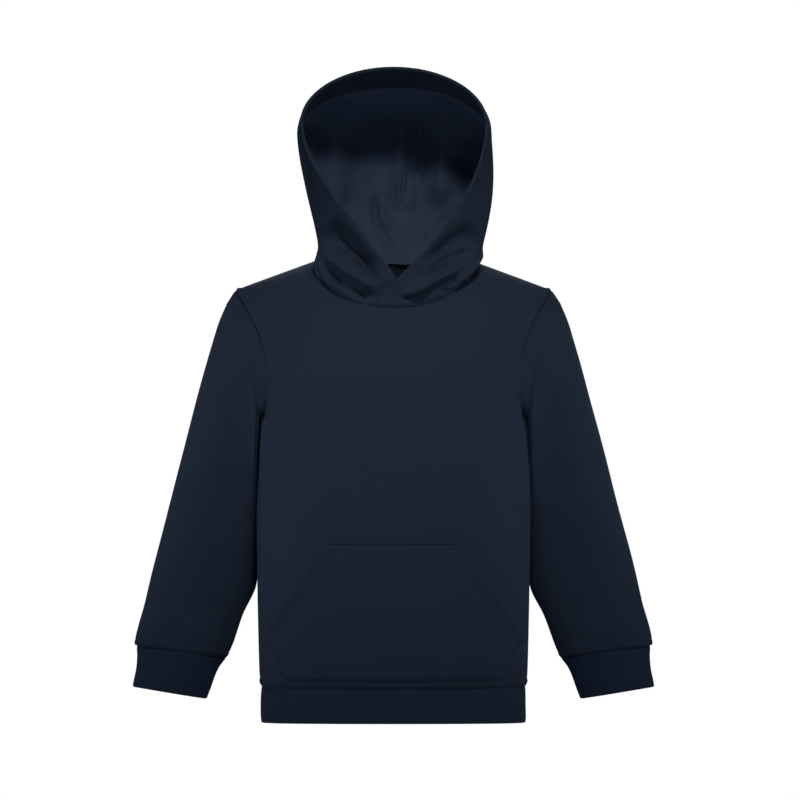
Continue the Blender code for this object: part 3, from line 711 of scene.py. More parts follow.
def column_shares(steps):
    """Column places at the armpit and at the top, for a torso drawn with 2 x steps columns a side."""
    neck = NECK_POINT_X / SHOULDER_TIP_X
    first = math.asin(neck ** (RING_POWER / 2.0))
    outside = np.linspace(first, math.pi / 2.0, steps + 1)
    top = np.concatenate([neck_shares(np.linspace(0.0, math.pi / 2.0, steps + 1)[:-1]),
                          np.sin(outside) ** (2.0 / RING_POWER)])
    low = np.sin(np.linspace(0.0, math.pi / 2.0, 2 * steps + 1)) ** (2.0 / RING_POWER)
    low[-1] = top[-1] = 1.0
    return np.concatenate([-low[:0:-1], low]), np.concatenate([-top[:0:-1], top])


def waist_z(y):
    depth = np.maximum(-np.asarray(y), 0.0) / TORSO[0].front_depth
    return TORSO[0].height - WAIST_DIP * np.minimum(depth, 1.0) ** 2


BODY_STEPS = 80
BODY_LOWER = 100
BODY_UPPER = 160
TUBE_LEVELS = (0.40, 0.20)           # the chest is a whole tube up to the lower of these


def body_form(facing):
    """Dense points of the front or back form, rows from the waist up."""
    low_shares, top_shares = column_shares(BODY_STEPS)
    tops = top_levels(top_shares, facing)
    rows = []
    waist = TORSO[0].height
    for k in range(BODY_LOWER):
        t = k / BODY_LOWER
        z = np.full(len(low_shares), waist + (ARMPIT_Z - waist) * t**LOWER_CROWDING)
        row = lower_form(low_shares, z, facing)
        row[:, 2] += (waist_z(row[:, 1]) - waist) * (1.0 - t) ** 2
        rows.append(row)
    for k in range(BODY_UPPER + 1):
        rise = math.sin(0.5 * math.pi * (k / BODY_UPPER)) ** (2.0 / SHOULDER_ROUND)
        shares = top_shares + (low_shares - top_shares) * (1.0 - rise**COLUMN_TURN)
        rows.append(chest_form(shares, tops * rise, facing))
    grid = np.array(rows)
    grid[..., 1] -= facing * 0.5 * SEAM_LAP
    return grid


def on_the_tube(grid, facing):
    """Bring respaced points near the armpits back on the chest's form."""
    shifted = grid.copy()
    shifted[..., 1] += facing * 0.5 * SEAM_LAP
    for _ in range(2):
        x, y, z = shifted[..., 0], shifted[..., 1], shifted[..., 2]
        level = np.clip((z - ARMPIT_Z) / (shoulder_line(x) - ARMPIT_Z), 0.0, 1.0)
        depth = torso_size(body_depth_key(facing), ARMPIT_Z) * rounded(level, SHOULDER_ROUND)
        reach = np.abs(x / chest_half_width(level)) ** RING_POWER
        reach = reach + np.abs(y / np.maximum(depth, 0.01)) ** RING_POWER
        scale = np.maximum(reach, 0.5) ** (-1.0 / RING_POWER)
        weight = smoothstep(*TUBE_LEVELS, level) * (z > ARMPIT_Z)
        shifted[..., :2] *= (1.0 + weight * (scale - 1.0))[..., None]
    shifted[..., 1] -= facing * 0.5 * SEAM_LAP
    return shifted


def body_mesh(facing):
    side, armpit = BODY_STEPS, BODY_LOWER
    grid = respaced(body_form(facing), (Stretch(0, side, 38, True, False),
                                        Stretch(side, 3 * side, 88, False, False),
                                        Stretch(3 * side, 4 * side, 38, False, True)))
    grid = respaced_up(grid, (Stretch(0, armpit, 108, True, False),
                              Stretch(armpit, armpit + BODY_UPPER, 90, False, True)))
    return on_the_tube(grid, facing)


def edge_distances(grid):
    """Distances to the left, right, bottom and top edges, along the rows and columns."""
    across, up = runs_across(grid), runs_up(grid)
    return across, across[:, -1:] - across, up, up[-1:] - up


# --------------------------------------------------------------------------- body pieces
BODY_SWELLS = ((0.0007, 0.031, 0.048, 0.4), (0.0005, 0.052, 0.023, 2.1), (0.0004, 0.019, 0.060, 4.0))
FRONT_CREASES = folds(
    -1,
    (0.0011, 0.013, ((-0.118, -0.150), (-0.098, -0.135), (-0.078, -0.105))),
    (-0.0009, 0.010, ((-0.120, -0.168), (-0.096, -0.160), (-0.070, -0.140))),
    (0.0011, 0.014, ((0.118, -0.152), (0.099, -0.140), (0.081, -0.114))),
    (-0.0010, 0.011, ((0.121, -0.172), (0.098, -0.166), (0.074, -0.150))),
    (0.0008, 0.015, ((-0.117, -0.215), (-0.090, -0.228), (-0.052, -0.232))),
    (-0.0007, 0.012, ((0.116, -0.222), (0.088, -0.236), (0.050, -0.238))),
    (0.0010, 0.012, ((-0.118, -0.382), (-0.114, -0.366), (-0.117, -0.345))),
    (0.0009, 0.012, ((0.118, -0.384), (0.115, -0.368), (0.118, -0.349))),
)
BACK_CREASES = folds(
    1,
    (0.0012, 0.014, ((-0.119, -0.150), (-0.094, -0.130), (-0.066, -0.088))),
    (-0.0012, 0.011, ((-0.121, -0.170), (-0.090, -0.158), (-0.056, -0.128))),
    (0.0013, 0.014, ((0.119, -0.153), (0.096, -0.136), (0.070, -0.096))),
    (-0.0011, 0.012, ((0.121, -0.174), (0.094, -0.164), (0.058, -0.138))),
    (0.0013, 0.016, ((-0.110, -0.232), (-0.050, -0.252), (0.030, -0.246))),
    (-0.0010, 0.013, ((-0.040, -0.268), (0.040, -0.274), (0.112, -0.250))),
    (0.0011, 0.012, ((-0.060, -0.372), (-0.056, -0.345), (-0.063, -0.318))),
    (0.0010, 0.012, ((0.047, -0.374), (0.052, -0.350), (0.047, -0.322))),
)
WAIST_STITCH = 0.0082
WAIST_DITCH, WAIST_REACH = 0.0004, 0.0011            # the flat ditch at the waist and the cuffs
SIDE_DITCH = 0.0003
FLANK_SHARE, FLANK_REACH, FLANK_PUSH = 0.950, 0.032, 0.0034
FLANK_TOP_Z, FLANK_LOW_Z = (-0.132, -0.160), (-0.330, -0.200)
WAIST_FURROW, WAIST_RIDGE = (WAIST_STITCH, 0.0005, 0.0009), (0.0008, 0.0040, 0.0024)
SHOULDER_RIDGE = (0.0015, 0.0034, 0.0016)
SHOULDER_RIDGE_Z = (-0.135, -0.080)  # the ridge beside the armhole seam grows over these heights


def body_cloth(name, facing):
    grid = body_mesh(facing)
    return Cloth(name, grid, normals_of(grid, (0.0, 0.0, -0.2)), ("left", "right", "bottom", "top"))


def make_body_piece(cloth, creases):
    grid, normals = cloth.grid, cloth.normals
    left, right, bottom, top = (cloth.to[side] for side in cloth.seams)
    side, height = np.minimum(left, right), grid[..., 2]
    drawn = np.where(height > ARMPIT_Z, DITCH_DEPTH * armhole_draw(height), SIDE_DITCH)
    push = np.minimum(ditch(side, drawn), ditch(top)) + ditch(bottom, WAIST_DITCH, WAIST_REACH)
    push += raised(side, *SHOULDER_RIDGE) * smoothstep(*SHOULDER_RIDGE_Z, height)
    push += furrow(bottom, *WAIST_FURROW) + raised(bottom, *WAIST_RIDGE)
    inside = smoothstep(0.0, 0.02, np.minimum.reduce([left, right, bottom, top]))
    push += (creased(grid, normals, creases) + swells(grid, BODY_SWELLS)) * inside
    share = np.abs(grid[..., 0]) / torso_size("half_width", np.minimum(height, ARMPIT_Z))
    flank = bell(share, FLANK_SHARE, FLANK_REACH) * smoothstep(*FLANK_TOP_Z, height)
    push += FLANK_PUSH * flank * smoothstep(*FLANK_LOW_Z, height)
    outer = grid + normals * push[..., None]
    piece = shell(cloth.name + "_cloth", outer, normals, FLEECE, (FACE, BACK))
    return piece, outer, normals, bottom


BAND_GIRTH = 0.640
BAND_RISES = (0.0, 0.012, 0.04, 0.10, 0.20, 0.32, 0.44, 0.56, 0.68, 0.80, 0.90, 0.955, 0.985, 1.0)
BAND_FOLD, CUFF_FOLD = 0.0012, 0.0010   # left at the foot for the rounded fold
BAND_FOOT_RIDGE, CUFF_SWELL = (0.0005, 0.004, 0.006), (0.0006, 0.030, 0.010)
RIBS_START = (0.0, 0.004)
CUFF_TUCK = 0.0012                      # the cuff's top goes up into its seam


def spread_round(ring, count):
    """A closed ring's points, set evenly along it."""
    run = run_of(ring)
    return at_places(run[-1] * np.arange(count) / count, run, ring)


def band_cloth():
    angle = 2.0 * math.pi * np.arange(1440) / 1440
    sine, cosine = np.sin(angle), np.cos(angle)
    x = BAND_HALF_WIDTH * np.sign(sine) * np.abs(sine) ** (2.0 / RING_POWER)
    depth = np.where(cosine > 0, BAND_FRONT_DEPTH, BAND_BACK_DEPTH)
    y = -depth * np.sign(cosine) * np.abs(cosine) ** (2.0 / RING_POWER)
    ring = np.stack([x, y], axis=-1)
    count = POINTS_PER_RIB * int(round(BAND_GIRTH / RIB_PITCH))
    x, y = spread_round(np.vstack([ring, ring[:1]]), count).T
    top = waist_z(y) + SEAM_LAP
    grid = np.array([np.stack([x, y, top + (BAND_BOTTOM_Z + BAND_FOLD - top) * rise], axis=-1)
                     for rise in BAND_RISES])
    normals = normals_of(grid, (0.0, 0.0, -0.41), closed=True)
    return Cloth("hem_band", grid, unit(normals * np.array([1.0, 1.0, 0.0])), ("bottom",), closed=True)


def ribs(cloth):
    """The relief of the ribs, and the ditch at the seam that they hang from."""
    down = cloth.to["bottom"]
    phase = 2.0 * math.pi * np.arange(cloth.grid.shape[1]) / POINTS_PER_RIB
    return (RIB_HEIGHT * np.cos(phase)[None] * smoothstep(*RIBS_START, down)
            + ditch(down, WAIST_DITCH, WAIST_REACH))


def rib_shell(cloth, push, around):
    """The wall of a ribbed piece, with a round fold at its foot."""
    edges = np.zeros(push.shape)
    edges[-1] = FOLD_ROUND
    uv = np.stack([np.broadcast_to(around, push.shape), cloth.to["bottom"]], axis=-1)
    return shell(cloth.name + "_cloth", cloth.grid + cloth.normals * push[..., None], cloth.normals,
                 RIB, (RIBBING, RIBBING), closed=True, round_edges=edges, uv=uv)


def make_band(cloth):
    grid, down = cloth.grid, cloth.to["bottom"]
    rises = down[:, :1] / down[-1:, :1]
    at = run_of(np.vstack([grid[0], grid[0][:1]]))
    girth, at = at[-1], at[:-1]
    push = ribs(cloth)
    push += raised(cloth.to["top"], *BAND_FOOT_RIDGE)
    push += 0.0007 * np.sin(np.pi * rises) - 0.0004
    push += 0.0004 * np.sin(7.0 * at / girth * 2.0 * math.pi + 0.6)[None] * np.sin(np.pi * rises)
    return rib_shell(cloth, push, at)


# --------------------------------------------------------------------------- sleeves and cuffs
def armhole_ring(steps):
    """The wearer's left armhole: down its front from the shoulder tip, and up its back."""
    rise = 0.5 - 0.5 * np.cos(math.pi * np.arange(steps + 1) / steps)
    front = chest_form(np.ones(steps + 1), rise, -1)
    back = chest_form(np.ones(steps + 1), rise, 1)
    return np.vstack([front[::-1], back[1:-1]])


def section_points(ring, corners, shape=None):
    """One ring of a sleeve or cuff; a shape blends it into the armhole and gives it the cloth's hang."""
    outer = np.array([ring.outer_x, 0.0, ring.outer_z])
    inner = np.array([ring.inner_x, 0.0, ring.inner_z])
    angle = 2.0 * math.pi * np.arange(corners) / corners
    power, depth, tube, tucked = SLEEVE_POWER, ring.depth, ring.tube, 1.0
    if shape is not None:
        by_body = (np.maximum(np.sin(2.0 * (angle - math.pi / 2.0)), 0.0)
                   * (angle > math.pi / 2.0) * (angle < math.pi))
        power = CLOTH_SLEEVE_POWER + FLATTER * by_body * bell(inner[2], FLATTER_Z, FLATTER_REACH)
        tube = tube + (1.0 - tube) * 0.75 * by_body
        depth = depth * (1.0 - FLUSH * by_body * bell(inner[2], FLUSH_Z, FLUSH_REACH))
        tucked = 1.0 - by_body
    reach = np.sign(np.cos(angle)) * np.abs(np.cos(angle)) ** (2.0 / power)
    side = -np.sign(np.sin(angle)) * np.abs(np.sin(angle)) ** (2.0 / power)
    lift = np.zeros(corners)
    if shape is not None:
        reach, side = (tube * own + (1.0 - tube) * hole for own, hole in zip((reach, side), shape))
        lift = (1.0 - tube) * shape[2]
    half = 0.5 * (outer - inner)
    axis = unit(np.array([-half[2], 0.0, half[0]]))
    points = 0.5 * (outer + inner) + reach[:, None] * half + lift[:, None] * axis
    tuck = SLEEVE_TUCK * bell(inner[2], SLEEVE_TUCK_Z, SLEEVE_TUCK_REACH)
    points[:, 1] += ring.back + 0.5 * depth * side + tuck * tucked * (0.5 - 0.5 * reach) ** 2
    return points


def lofted(rows, rings, corners, shape=None):
    middles = np.array([[0.5 * (r.outer_x + r.inner_x), 0.5 * (r.outer_z + r.inner_z)] for r in rows])
    knots = run_of(middles)
    between = read_all(rows, knots, np.linspace(0.0, knots[-1], rings))
    return np.array([section_points(ring, corners, shape) for ring in between])


def armhole_shape(ring, steps):
    outer, inner = ring[0], ring[steps]
    half = 0.5 * (outer - inner)
    axis = unit(np.array([-half[2], 0.0, half[0]]))
    offset = ring - 0.5 * (outer + inner)
    return offset @ half / (half @ half), ring[:, 1] / ring[:, 1].max(), offset @ axis


SLEEVE_STEPS = 120
CUFF_STITCH = 0.0058
CUFF_FURROW, CUFF_RIDGE = (CUFF_STITCH, 0.0004, 0.0009), (0.0003, 0.0030, 0.0018)
UNDERARM_DITCH, UNDERARM_RIDGE = (0.0003, 0.0014), (0.0010, 0.0, 0.014)
BESIDE_TOP_Z, BESIDE_LOW_Z = (-0.1446, -0.1458), (-0.305, -0.280)    # where sleeve and body touch
SLEEVE_SWELLS = ((0.0006, 0.021, 0.034, 1.2), (0.0004, 0.037, 0.018, 3.3))
SLEEVE_CREASES = folds(
    -1,
    (-0.0010, 0.009, ((0.128, -0.214), (0.146, -0.206), (0.165, -0.186))),
    (0.0010, 0.010, ((0.128, -0.232), (0.150, -0.226), (0.172, -0.206))),
    (-0.0008, 0.008, ((0.140, -0.316), (0.158, -0.318), (0.178, -0.312))),
    (0.0010, 0.009, ((0.150, -0.338), (0.170, -0.338), (0.196, -0.330))),
    (-0.0008, 0.007, ((0.162, -0.352), (0.182, -0.350), (0.206, -0.341))),
) + folds(
    1,
    (-0.0015, 0.010, ((0.130, -0.206), (0.152, -0.200), (0.180, -0.188))),
    (0.0015, 0.011, ((0.132, -0.228), (0.156, -0.222), (0.190, -0.206))),
    (-0.0013, 0.009, ((0.134, -0.250), (0.158, -0.248), (0.184, -0.238))),
    (0.0012, 0.010, ((0.150, -0.326), (0.176, -0.322), (0.204, -0.308))),
)


def sleeve_mesh():
    ring = armhole_ring(SLEEVE_STEPS)
    corners = len(ring)
    rest = lofted(SLEEVE, 160, corners, armhole_shape(ring, SLEEVE_STEPS))
    grid = np.concatenate([(ring - np.array([SEAM_LAP, 0.0, 0.0]))[None], rest])
    grid = np.concatenate([grid, grid[:, :1]], axis=1)
    half = corners // 2
    grid = respaced(grid, (Stretch(0, half, 58, False, True), Stretch(half, corners, 58, True, False)))
    grid = respaced_up(grid, (Stretch(0, len(grid) - 1, 150, True, True),))
    return grid[:, :-1]


def both_sides(kind, grid, seams):
    """The wearer's left piece and its mirror image."""
    normals = normals_of(grid, grid.mean(axis=1, keepdims=True), closed=True)
    return [Cloth(kind + side, grid * turned, normals * turned, seams, closed=True)
            for side, turned in (("_left", (1.0, 1.0, 1.0)), ("_right", (-1.0, 1.0, 1.0)))]


def make_sleeve(cloth, creases, phase):
    grid, normals, down, up = cloth.grid, cloth.normals, cloth.to["bottom"], cloth.to["top"]
    middle = grid.shape[1] // 2
    around, height = cloth.around, grid[..., 2]
    to_seam = np.abs(around - around[:, middle:middle + 1])
    seam_line = ditch(to_seam, *UNDERARM_DITCH)
    beside_body = smoothstep(*BESIDE_TOP_Z, height) * smoothstep(*BESIDE_LOW_Z, height)
    seam_line += raised(to_seam, *UNDERARM_RIDGE) * beside_body
    inside = smoothstep(0.0, 0.018, np.minimum(down, up))
    push = ditch(down, 0.6 * DITCH_DEPTH * armhole_draw(height)) + ditch(up, WAIST_DITCH, WAIST_REACH)
    push += seam_line
    push += furrow(up, *CUFF_FURROW) + raised(up, *CUFF_RIDGE)
    waves = [(h, a, b, p + phase) for h, a, b, p in SLEEVE_SWELLS]
    push += (creased(grid, normals, creases) + swells(grid, waves)) * inside
    outer = grid + normals * push[..., None]
    piece = shell(cloth.name + "_cloth", outer, normals, FLEECE, (FACE, BACK), closed=True,
                  uv=np.stack([around, down], axis=-1))
    return piece, outer, normals, up


def mirrored(creases):
    return [crease._replace(path=[(-x, z) for x, z in crease.path]) for crease in creases]


def cuff_mesh():
    dense = lofted(CUFF, 24, 720)
    dense = np.concatenate([dense, dense[:, :1]], axis=1)
    count = POINTS_PER_RIB * int(round(run_of(dense[len(dense) // 2])[-1] / RIB_PITCH))
    grid = np.array([spread_round(row, count) for row in dense])
    grid[0] += CUFF_TUCK * unit(grid[0] - grid[1])
    grid[-1] -= CUFF_FOLD * unit(grid[-1] - grid[-2])
    return grid


def make_cuff(cloth):
    push = ribs(cloth)
    push += raised(cloth.to["bottom"], *CUFF_SWELL)
    return rib_shell(cloth, push, cloth.around)


# --------------------------------------------------------------------------- pocket
OPENING_FURROW, SIDE_FURROW = (0.0110, 0.0006), 0.0022
TOP_FURROWS = ((0.0027, 0.0009, 0.0009), (0.0085, 0.0003))
OPENING_HEM, OPENING_LIFT = (0.0005, (0.0125, 0.0095)), (0.0013, (0.0090, 0.0010))
OPENING_RIDGE = (0.0008, 0.0014, 0.0011)
OPENING_STARTS = (-0.002, 0.010)     # against the height of the pocket's widest row
POCKET_FOOT_SINK, POCKET_SIDE_SINK = (0.0013, (0.0032, 0.0)), (0.0014, (0.0050, 0.0))
POCKET_TOP_LIFT, BELOW_TOP = (0.0006, (0.0030, 0.0010)), (0.0, 0.010)


def make_pocket():
    knots = [row.height for row in POCKET]
    widths = [row.half_width for row in POCKET]
    heights = [knots[0]]
    for low, high in zip(knots, knots[1:]):
        heights += list(np.linspace(low, high, 41)[1:])
    heights = np.array(heights)
    across = np.linspace(-1.0, 1.0, 161)
    x = np.interp(heights, knots, widths)[:, None] * across[None]
    z = np.repeat(heights[:, None], len(across), axis=1)
    foot = waist_z(lower_form(x[0] / torso_size("half_width", z[0]), z[0], -1)[:, 1]) + WAIST_STITCH
    squeezed = knots[1] + (z - knots[1]) * (foot - knots[1]) / (knots[0] - knots[1])
    z = np.where(z < knots[1], squeezed, z)
    x = np.interp(z, knots, widths) * across[None]
    form = lower_form(x / torso_size("half_width", z), z, -1)
    form = respaced(form, (Stretch(0, 160, 116, True, True),))
    form = respaced_up(form, (Stretch(0, 40, 16, True, False), Stretch(40, 80, 10, False, False),
                              Stretch(80, 120, 56, False, True)))
    normals = normals_of(form, (0.0, 0.02, -0.3))
    x, z = form[..., 0], form[..., 2]
    climb = (z - knots[0]) / (knots[-1] - knots[0])
    share = np.clip(x / np.interp(z, knots, widths), -1.0, 1.0)
    bulge = POCKET_MIDDLE_SWELL + (1.0 - POCKET_MIDDLE_SWELL) * share**2
    swell = np.sin(np.pi * np.clip(climb, 0.0, 1.0)) * bulge
    lift = POCKET_LIFT + FLEECE + POCKET_SWELL * swell
    left, right, bottom, top = edge_distances(form)
    side = np.minimum(left, right) * POCKET_SLANT
    opening = smoothstep(knots[2] + OPENING_STARTS[0], knots[2] + OPENING_STARTS[1], z)
    push = furrow(side, *OPENING_FURROW) * opening
    push = push + furrow(top, *TOP_FURROWS[0]) + furrow(top, *TOP_FURROWS[1])
    push += furrow(side, SIDE_FURROW) * (1.0 - opening)
    push += ledge(side, *OPENING_HEM) * opening
    push -= ledge(bottom, *POCKET_FOOT_SINK)
    push += ledge(top, *POCKET_TOP_LIFT)
    push -= ledge(side, *POCKET_SIDE_SINK) * (1.0 - opening)
    push += ledge(side, *OPENING_LIFT) * opening * smoothstep(*BELOW_TOP, top)
    push += raised(side, *OPENING_RIDGE) * opening
    outer = form + normals * (lift + push)[..., None]
    return shell("pocket_cloth", outer, normals, FLEECE, (FACE, BACK),
                 round_edges=np.full(form.shape[:2], CUT_ROUND))


# --------------------------------------------------------------------------- hood
HOOD_FOOT_STEPS = 90
HOOD_CROWN_STEPS = 60


def neck_curve(turns, facing):
    shares = neck_shares(turns)
    levels = np.where(np.abs(turns) > math.pi / 2.0 - 1e-9, 1.0, top_levels(shares, facing))
    return chest_form(shares, levels, facing)


def neck_path(sign):
    """Neck seam of one hood half, from past the throat's middle round to the nape."""
    front = neck_curve(sign * np.linspace(-THROAT_TURN, math.pi / 2.0, 110), -1)
    back = neck_curve(sign * np.linspace(math.pi / 2.0, 0.0, 90), 1)
    return np.vstack([front, back[1:]])


def neck_inward(points):
    return -unit((points - np.array([0.0, NECK_CENTRE_Y, 0.0])) * np.array([1.0, 1.0, 0.0]))


def hood_form(path, sign):
    """Dense points of one hood half: a hoop for each neck point, from its foot to the crown seam."""
    share = run_of(path)
    share = share / share[-1]
    hoops = []
    for foot, size in zip(path, read_all(HOOD, [hoop.foot for hoop in HOOD], share)):
        wide, wide_y, wide_z = size.wide, size.wide_back, size.wide_z
        t = np.linspace(0.0, 1.0, HOOD_FOOT_STEPS + 1) ** HOOD_FOOT_CROWDING
        out = (1.0 - (1.0 - t) ** size.rise) ** size.lag
        low_x = foot[0] + (sign * wide - foot[0]) * out
        low_y = foot[1] + (wide_y - foot[1]) * smoothstep(0.0, 1.0, t) - size.bulge * np.sin(np.pi * t)
        low_z = foot[2] - SEAM_LAP + (wide_z - foot[2] + SEAM_LAP) * t
        end = math.acos(sign * size.seam_share)
        turn = np.linspace(0.0, end, HOOD_CROWN_STEPS + 1)[1:]
        high_x = sign * wide * np.cos(turn)
        narrow = smoothstep(NARROW_HOOP, 0.0, wide)
        climb = np.sin(turn) * (1.0 - narrow) + turn / end * narrow
        high_y = wide_y + (size.top_back - wide_y) * climb**2
        high_z = wide_z + (size.top_z - wide_z) * climb
        hoops.append(np.hstack([(low_x, low_y, low_z), (high_x, high_y, high_z)]).T)
    grid = np.array(hoops)
    sway = bell(grid[..., 2], HOOD_SWAY_Z, HOOD_SWAY_REACH)
    height = np.linalg.norm(grid - grid[:, :1], axis=-1)
    grid[..., 0] += HOOD_SWAY * sway * smoothstep(*SWAY_STARTS, height)
    roll = ROLL_HEIGHT * bell(height, ROLL_RISE, ROLL_REACH)
    around = smoothstep(*ROLL_STARTS, share) * smoothstep(*ROLL_ENDS, share)
    return grid - neck_inward(grid) * (roll * around[:, None])[..., None]


def eased(grid):
    """Ease the turn half way up each hoop, away from its sewn edges."""
    run = runs_across(grid)
    weight = smoothstep(*EASE_FOOT, run) * smoothstep(*EASE_CROWN, run[:, -1:] - run)
    weight = weight * smoothstep(*EASE_BACK, grid[..., 1])
    soft = grid.copy()
    for _ in range(EASING):
        between = 0.5 * (soft[:, :-2] + soft[:, 2:])
        soft[:, 1:-1] += 0.5 * weight[:, 1:-1, None] * (between - soft[:, 1:-1])
    return soft


def lean_seam(grid):
    """Let the back seam wander to the wearer's left half way up the back of the head."""
    wander = SEAM_WANDER * bell(grid[..., 2], WANDER_Z, WANDER_REACH)
    grid[..., 0] += wander * bell(grid[..., 0], 0.0, 0.040) * smoothstep(0.02, 0.05, grid[..., 1])
    return grid


def stack_at_throat(grid, sign, wall):
    """Lay the halves over each other where they cross at the throat."""
    crossing = smoothstep(*THROAT_WIDTH, sign * grid[..., 0]) * smoothstep(*THROAT_DEPTH, grid[..., 1])
    grid[..., 1] -= sign * 0.5 * (wall + 0.0003) * crossing
    return grid


BACK_OF_HOOD = folds(
    1,
    (-0.0070, 0.0080, ((-0.0600, 0.1300), (-0.0566, 0.0950), (-0.0480, 0.0450))),
    (0.0052, 0.0080, ((-0.0310, 0.1300), (-0.0310, 0.0950), (-0.0260, 0.0500))),
    (-0.0090, 0.0076, ((0.0070, 0.1400), (0.0060, 0.1020), (-0.0020, 0.0520))),
    (0.0066, 0.0058, ((0.0250, 0.1350), (0.0250, 0.0980), (0.0210, 0.0600))),
    (-0.0062, 0.0076, ((0.0480, 0.1320), (0.0470, 0.0990), (0.0400, 0.0460))),
    (0.0050, 0.0076, ((0.0670, 0.1200), (0.0660, 0.0900), (0.0560, 0.0500))),
    (0.0044, 0.0038, ((-0.0178, 0.0620), (-0.0160, 0.0390), (-0.0090, 0.0236), (0.0060, 0.0050))),
    (-0.0030, 0.0040, ((-0.0120, 0.0600), (-0.0098, 0.0380), (-0.0030, 0.0260), (0.0110, 0.0120))),
    (0.0030, 0.0024, ((-0.0109, 0.0480), (-0.0050, 0.0385), (0.0004, 0.0320), (0.0048, 0.0160))),
    (0.0020, 0.0014, ((0.0035, 0.0830), (0.0030, 0.0600), (0.0040, 0.0380))),
    (0.0020, 0.0014, ((0.0080, 0.0840), (0.0075, 0.0620), (0.0085, 0.0420))),
    (0.0022, 0.0016, ((0.0200, 0.0740), (0.0190, 0.0580), (0.0175, 0.0410))),
    (0.0036, 0.0054, ((0.0700, 0.0700), (0.0450, 0.0450), (0.0300, 0.0260), (0.0180, 0.0080))),
)
HOOD_CREASES = {
    "hood_left": BACK_OF_HOOD + folds(
        -1,
        (-0.0105, 0.0120, ((0.0800, 0.0250), (0.0480, 0.0080), (0.0270, -0.0080))),
        (-0.0060, 0.0040, ((0.0780, 0.0080), (0.0451, -0.0060), (0.0270, -0.0190))),
        (0.0100, 0.0048, ((0.0650, -0.0020), (0.0397, -0.0170), (0.0080, -0.0345))),
        (0.0040, 0.0022, ((0.0340, -0.0205), (0.0200, -0.0275), (0.0070, -0.0340))),
        (-0.0046, 0.0020, ((0.0320, -0.0262), (0.0190, -0.0325), (0.0050, -0.0370))),
        (-0.0045, 0.0050, ((0.0610, -0.0190), (0.0530, -0.0260), (0.0400, -0.0330))),
    ) + folds(1, (-0.0026, 0.0050, ((0.0330, 0.0420), (0.0310, 0.0300), (0.0330, 0.0150)))),
    "hood_right": BACK_OF_HOOD + folds(
        -1,
        (-0.0140, 0.0120, ((-0.0680, 0.0290), (-0.0370, 0.0050), (-0.0110, -0.0170))),
        (-0.0046, 0.0036, ((-0.0620, 0.0200), (-0.0360, -0.0010), (-0.0120, -0.0200))),
        (0.0112, 0.0050, ((-0.0640, 0.0090), (-0.0380, -0.0110), (-0.0120, -0.0300))),
        (-0.0078, 0.0052, ((-0.0640, -0.0070), (-0.0400, -0.0265), (-0.0140, -0.0405))),
        (-0.0034, 0.0018, ((-0.0420, 0.0400), (-0.0340, 0.0300), (-0.0240, 0.0195))),
    ),
}
CREASED_FROM_FOOT, CREASED_FROM_FACE = (0.0, 0.0085), (-0.002, 0.014)
SWELLS_FROM_SEAM, SWELLS_FROM_FACE = (0.0, 0.014), (0.0, 0.020)
CROWN_DITCH = (0.0002, 0.0003)       # over the hem, and more past it
CROWN_THIN, CROWN_THIN_Z = (0.0013, 0.0, 0.0012), (0.050, 0.066)     # the groove inside the seam
HEM_FURROW, HEM_LEDGE = 0.0015, 0.0008
HOOD_SWELLS = ((0.0009, 0.024, 0.030, 0.8), (0.0006, 0.040, 0.017, 2.6))


def hood_cloth(name, sign):
    grid = stack_at_throat(lean_seam(hood_form(neck_path(sign), sign)), sign, FLEECE + HEM_EXTRA)
    grid[:, -1, 0] -= sign * 0.5 * SEAM_LAP
    grid[-1, :-1, 0] -= sign * 0.5 * SEAM_LAP
    grid = respaced(grid, (Stretch(0, grid.shape[1] - 1, 186, True, True),))
    grid = eased(respaced_up(grid, (Stretch(0, len(grid) - 1, 176, True, True),)))
    return Cloth(name, grid, normals_of(grid, HOOD_CENTRE), ("left", "right", "top"))


def make_hood_half(cloth, creases):
    grid, normals = cloth.grid, cloth.normals
    foot, crown, face, back = (cloth.to[side] for side in ("left", "right", "bottom", "top"))
    along = cloth.around[:1] / cloth.around[:1, -1:]
    hem = HEM_WIDTH + (HEM_CROWN_WIDTH - HEM_WIDTH) * smoothstep(*HEM_WIDENS, along)
    join = np.minimum(crown, back)
    past_hem = smoothstep(hem - 0.002, hem + 0.004, face)
    crown_ditch = ditch(join, CROWN_DITCH[0] + CROWN_DITCH[1] * past_hem)
    push = np.minimum(ditch(foot), crown_ditch) + furrow(face, hem - HEM_FURROW)
    inside = smoothstep(*SWELLS_FROM_SEAM, np.minimum.reduce([foot, crown, back]))
    steady = smoothstep(*SWELLS_FROM_FACE, face)
    push += (creased(grid, normals, creases) * smoothstep(*CREASED_FROM_FOOT, foot)
             * smoothstep(*CREASED_FROM_FACE, face))
    push += swells(grid, HOOD_SWELLS) * inside * steady
    outer = grid + normals * push[..., None]
    wall = FLEECE + HEM_EXTRA * smoothstep(hem + HEM_LEDGE, hem - HEM_LEDGE, face)
    wall -= raised(join, *CROWN_THIN) * past_hem * smoothstep(*CROWN_THIN_Z, grid[..., 2])
    edges = np.zeros(grid.shape[:2])
    edges[0] = FOLD_ROUND
    # the inside takes the wrong side's colour, partly painted light that brightens the hood's inside
    piece = shell(cloth.name + "_cloth", outer, normals, wall, (FACE, BACK), round_edges=edges,
                  turned_in=face < hem + 0.0004)
    return piece, outer, normals, face / hem, wall


def tree_of(pieces):
    """The faces of pieces, to be met by rays."""
    corners, faces = [], []
    for piece in pieces:
        first = len(corners)
        corners += [v.co[:] for v in piece.data.vertices]
        faces += [[first + i for i in p.vertices] for p in piece.data.polygons]
    return BVHTree.FromPolygons(corners, faces)


def seen_at(tree, x, z):
    """Where a ray from straight in front meets a piece."""
    return tree.ray_cast(Vector((x, -1.0, z)), Vector((0.0, 1.0, 0.0)))


